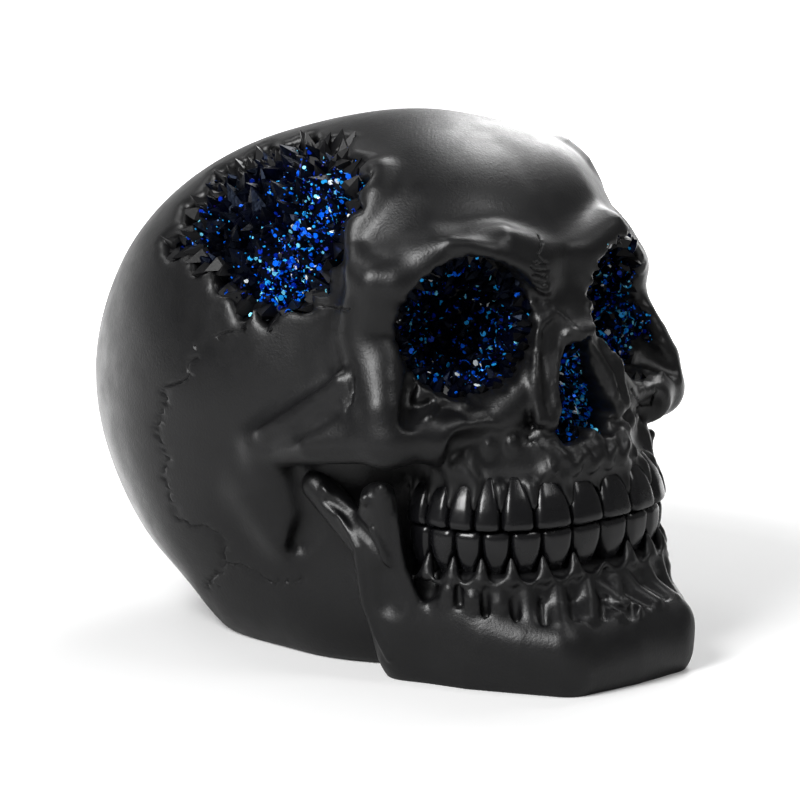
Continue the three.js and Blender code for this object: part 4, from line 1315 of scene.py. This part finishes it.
def nose_druse():
    uv = scattered(NOSE_OUTLINE, *NOSE_SCATTER)
    back = np.stack([uv[:, 0], np.full(len(uv), NOSE_BACK - 2.5), uv[:, 1]], 1)
    ways = tilted(np.tile((0.0, -1.0, 0.0), (len(back), 1)), 0.4)
    groups = [points_of(back, ways, *drawn(NOSE_BACK_SIZES, len(back)))]
    for depth in NOSE_WALL_DEPTHS:
        rim = outline_points(NOSE_OUTLINE, 2.1)
        wall = np.stack([rim[:, 0], np.full(len(rim), NOSE_BACK - depth), rim[:, 1]], 1)
        wall += random.normal(0, 0.4, wall.shape) * (0, 1, 0)
        wall = wall[bare_shell(wall) < -2]
        middle = np.array((0, 0, NOSE_FLOOR + NOSE_HEIGHT * 0.4))
        inward = unit((middle - wall) * (1, 0, 1)) + (0, -0.3, 0)
        sizes = drawn(NOSE_WALL_SIZES, len(wall))
        groups.append(points_of(wall, tilted(inward, 0.3), *sizes))
    return joined(groups)


nose_verts, nose_faces = nose_druse()
nose_crystals = mesh_object("nasal_druse", nose_verts, nose_faces, CRYSTAL)
nose_weight = clusters(skull_distance, NOSE_CLUSTERS, 5, 0.6)
nose_glitter = glitter("nasal_glitter", nose_verts, nose_faces, NOSE_FLAKES, nose_weight)


# Every piece rides on the one body
def place(piece, slot, *nodes):
    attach(piece, "root")
    if nodes:
        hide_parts(*nodes)


place(shell, "satin_resin", "cranium")
place(jaw, "satin_resin", "mandible")
place(upper_teeth, "gloss_resin", "upper_tooth_row")
place(lower_teeth, "gloss_resin", "lower_tooth_row")
place(temple_crystals, "blue_druse", "temple_geode")
place(temple_shards, "gloss_resin")
place(temple_glitter, "blue_druse")
for word, crystals, rim, flakes in eye_pieces:
    place(crystals, "blue_druse", f"{word}_eye_geode")
    place(rim, "gloss_resin")
    place(flakes, "blue_druse")
place(nose_crystals, "blue_druse", "nasal_geode")
place(nose_glitter, "blue_druse")


# Camera
SENSOR = 36


def aimed(name, data, place, way):
    """A camera or a lamp at a place, looking against a direction."""
    made = scene_object(name, data)
    made.location = place
    made.rotation_mode = "QUATERNION"
    made.rotation_quaternion = (-way).to_track_quat("-Z", "Y")
    return made


camera_data = bpy.data.cameras.new("camera")
camera_data.sensor_width = SENSOR
camera_data.lens = PIXELS_PER_SLOPE / IMAGE_SIZE * SENSOR
camera_data.clip_end = 20
back = Vector(BACK)
camera_place = (Vector(VIEW_TARGET) + back * VIEW_DISTANCE) * MM
bpy.context.scene.camera = aimed("camera", camera_data, camera_place, back)


# Studio: soft boxes, a pale floor and a pale background
LAMP_TARGET = Vector((0, 0, 60)) * MM


def soft_box(name, azimuth, elevation, distance, size, power):
    """A rectangular lamp seen from the skull at an azimuth, counted as the camera's is, and an elevation."""
    data = bpy.data.lights.new(name, "AREA")
    data.shape = "RECTANGLE"
    data.size, data.size_y = size
    data.energy = power
    way = Vector(view_axes(azimuth, elevation)[2])
    aimed(name, data, LAMP_TARGET + way * distance, way)


soft_box("left_box", 80, 38, 0.7, (0.26, 0.34), 5.2)
soft_box("front_box", -18, 50, 0.8, (0.2, 0.2), 0.9)
soft_box("right_box", -104, 54, 0.8, (0.24, 0.24), 1.3)
soft_box("back_right_box", -120, 27, 0.8, (0.3, 0.5), 3.8)
soft_box("back_box", 175, 50, 0.8, (0.25, 0.25), 0.7)


def math_node(tree, operation, a, b):
    return added(tree, "ShaderNodeMath", "Value", {0: a, 1: b}, operation=operation)


# From the camera towards the backdrop, on the floor
AWAY = (0.545, 0.839, 0)
WHITE = (1, 1, 1, 1)
SKY_GLOW = 0.15
GLOSSY_SHARE = 0.1
BACKDROP_GLOSS = 1.3
BACKDROP_COSINES = (0.58, 0.82)
BACKDROP_HEIGHTS = (0.05, 0.3)
GROUND_HALF = 3
GROUND_TONES = ((0.3, (0.86, 0.86, 0.86)), (0.7, (0.88, 0.88, 0.88)))
GLOSSY_GROUND = (0.5, 0.5, 0.5, 1)
GROUND_GLOW = 0.1
GROUND_GLOW_REACH = (0.13, 0.36)
GROUND_GLOSS = 2.2
GROUND_COSINES = (0.4, 0.68)


def towards_back(tree, direction, low, high):
    """How far a direction lies towards the backdrop, from its cosine."""
    cosine = added(tree, "ShaderNodeVectorMath", "Value", {0: direction, 1: AWAY}, operation="DOT_PRODUCT")
    return value_range(tree, cosine, 0, 1, low, high)


def ray_kinds(tree):
    """Whether a ray is seen, from the camera or through a clear form, and whether it is glossy."""
    path = tree.nodes.new("ShaderNodeLightPath").outputs
    seen = math_node(tree, "MAXIMUM", path["Is Camera Ray"], path["Is Transmission Ray"])
    return seen, path["Is Glossy Ray"]


def pale_ground():
    """White for the camera, grey in the skull's shadow. Reflections see it dim, but bright behind."""
    material, tree, shader = principled("pale_ground")
    seen, glossy = ray_kinds(tree)
    where = added(tree, "ShaderNodeTexCoord", "Object")
    colours = {"Factor": glossy, "A": ramp(tree, noise(tree, 6, 2, 0.5), GROUND_TONES), "B": GLOSSY_GROUND}
    length = added(tree, "ShaderNodeVectorMath", "Value", {0: where}, operation="LENGTH")
    glow = value_range(tree, length, GROUND_GLOW, 1, *GROUND_GLOW_REACH)
    direction = added(tree, "ShaderNodeVectorMath", "Vector", {0: where}, operation="NORMALIZE")
    bright = math_node(tree, "MULTIPLY", towards_back(tree, direction, *GROUND_COSINES), GROUND_GLOSS)
    mirrored = math_node(tree, "MULTIPLY", bright, glossy)
    fill(tree, shader, {
        "Base Color": added(tree, "ShaderNodeMix", "Result", colours, data_type="RGBA"),
        "Roughness": 0.9,
        "Specular IOR Level": 0,
        "Emission Color": WHITE,
        "Emission Strength": math_node(tree, "MAXIMUM", math_node(tree, "MULTIPLY", seen, glow), mirrored),
    })
    return material


ground_mesh = bpy.data.meshes.new("ground")
corners = [(x * GROUND_HALF, y * GROUND_HALF, 0) for x, y in ((-1, -1), (1, -1), (1, 1), (-1, 1))]
ground_mesh.from_pydata(corners, [], [(0, 1, 2, 3)])
ground_mesh.materials.append(pale_ground())
ground = scene_object("ground", ground_mesh)

world = bpy.data.worlds.new("studio")
world.use_nodes = True
bpy.context.scene.world = world
tree = world.node_tree
seen, glossy = ray_kinds(tree)
where = added(tree, "ShaderNodeTexCoord", "Generated")
height = added(tree, "ShaderNodeSeparateXYZ", "Z", {"Vector": where})
behind = towards_back(tree, where, *BACKDROP_COSINES)
low = value_range(tree, height, BACKDROP_GLOSS, 0, *BACKDROP_HEIGHTS)
bright = math_node(tree, "MAXIMUM", math_node(tree, "MULTIPLY", behind, low), GLOSSY_SHARE)
mirrored = math_node(tree, "MULTIPLY", bright, glossy)
strength = math_node(tree, "MAXIMUM", math_node(tree, "MAXIMUM", seen, mirrored), SKY_GLOW)
fill(tree, tree.nodes["Background"], {"Color": WHITE, "Strength": strength})

bpy.context.scene.view_settings.view_transform = "Standard"
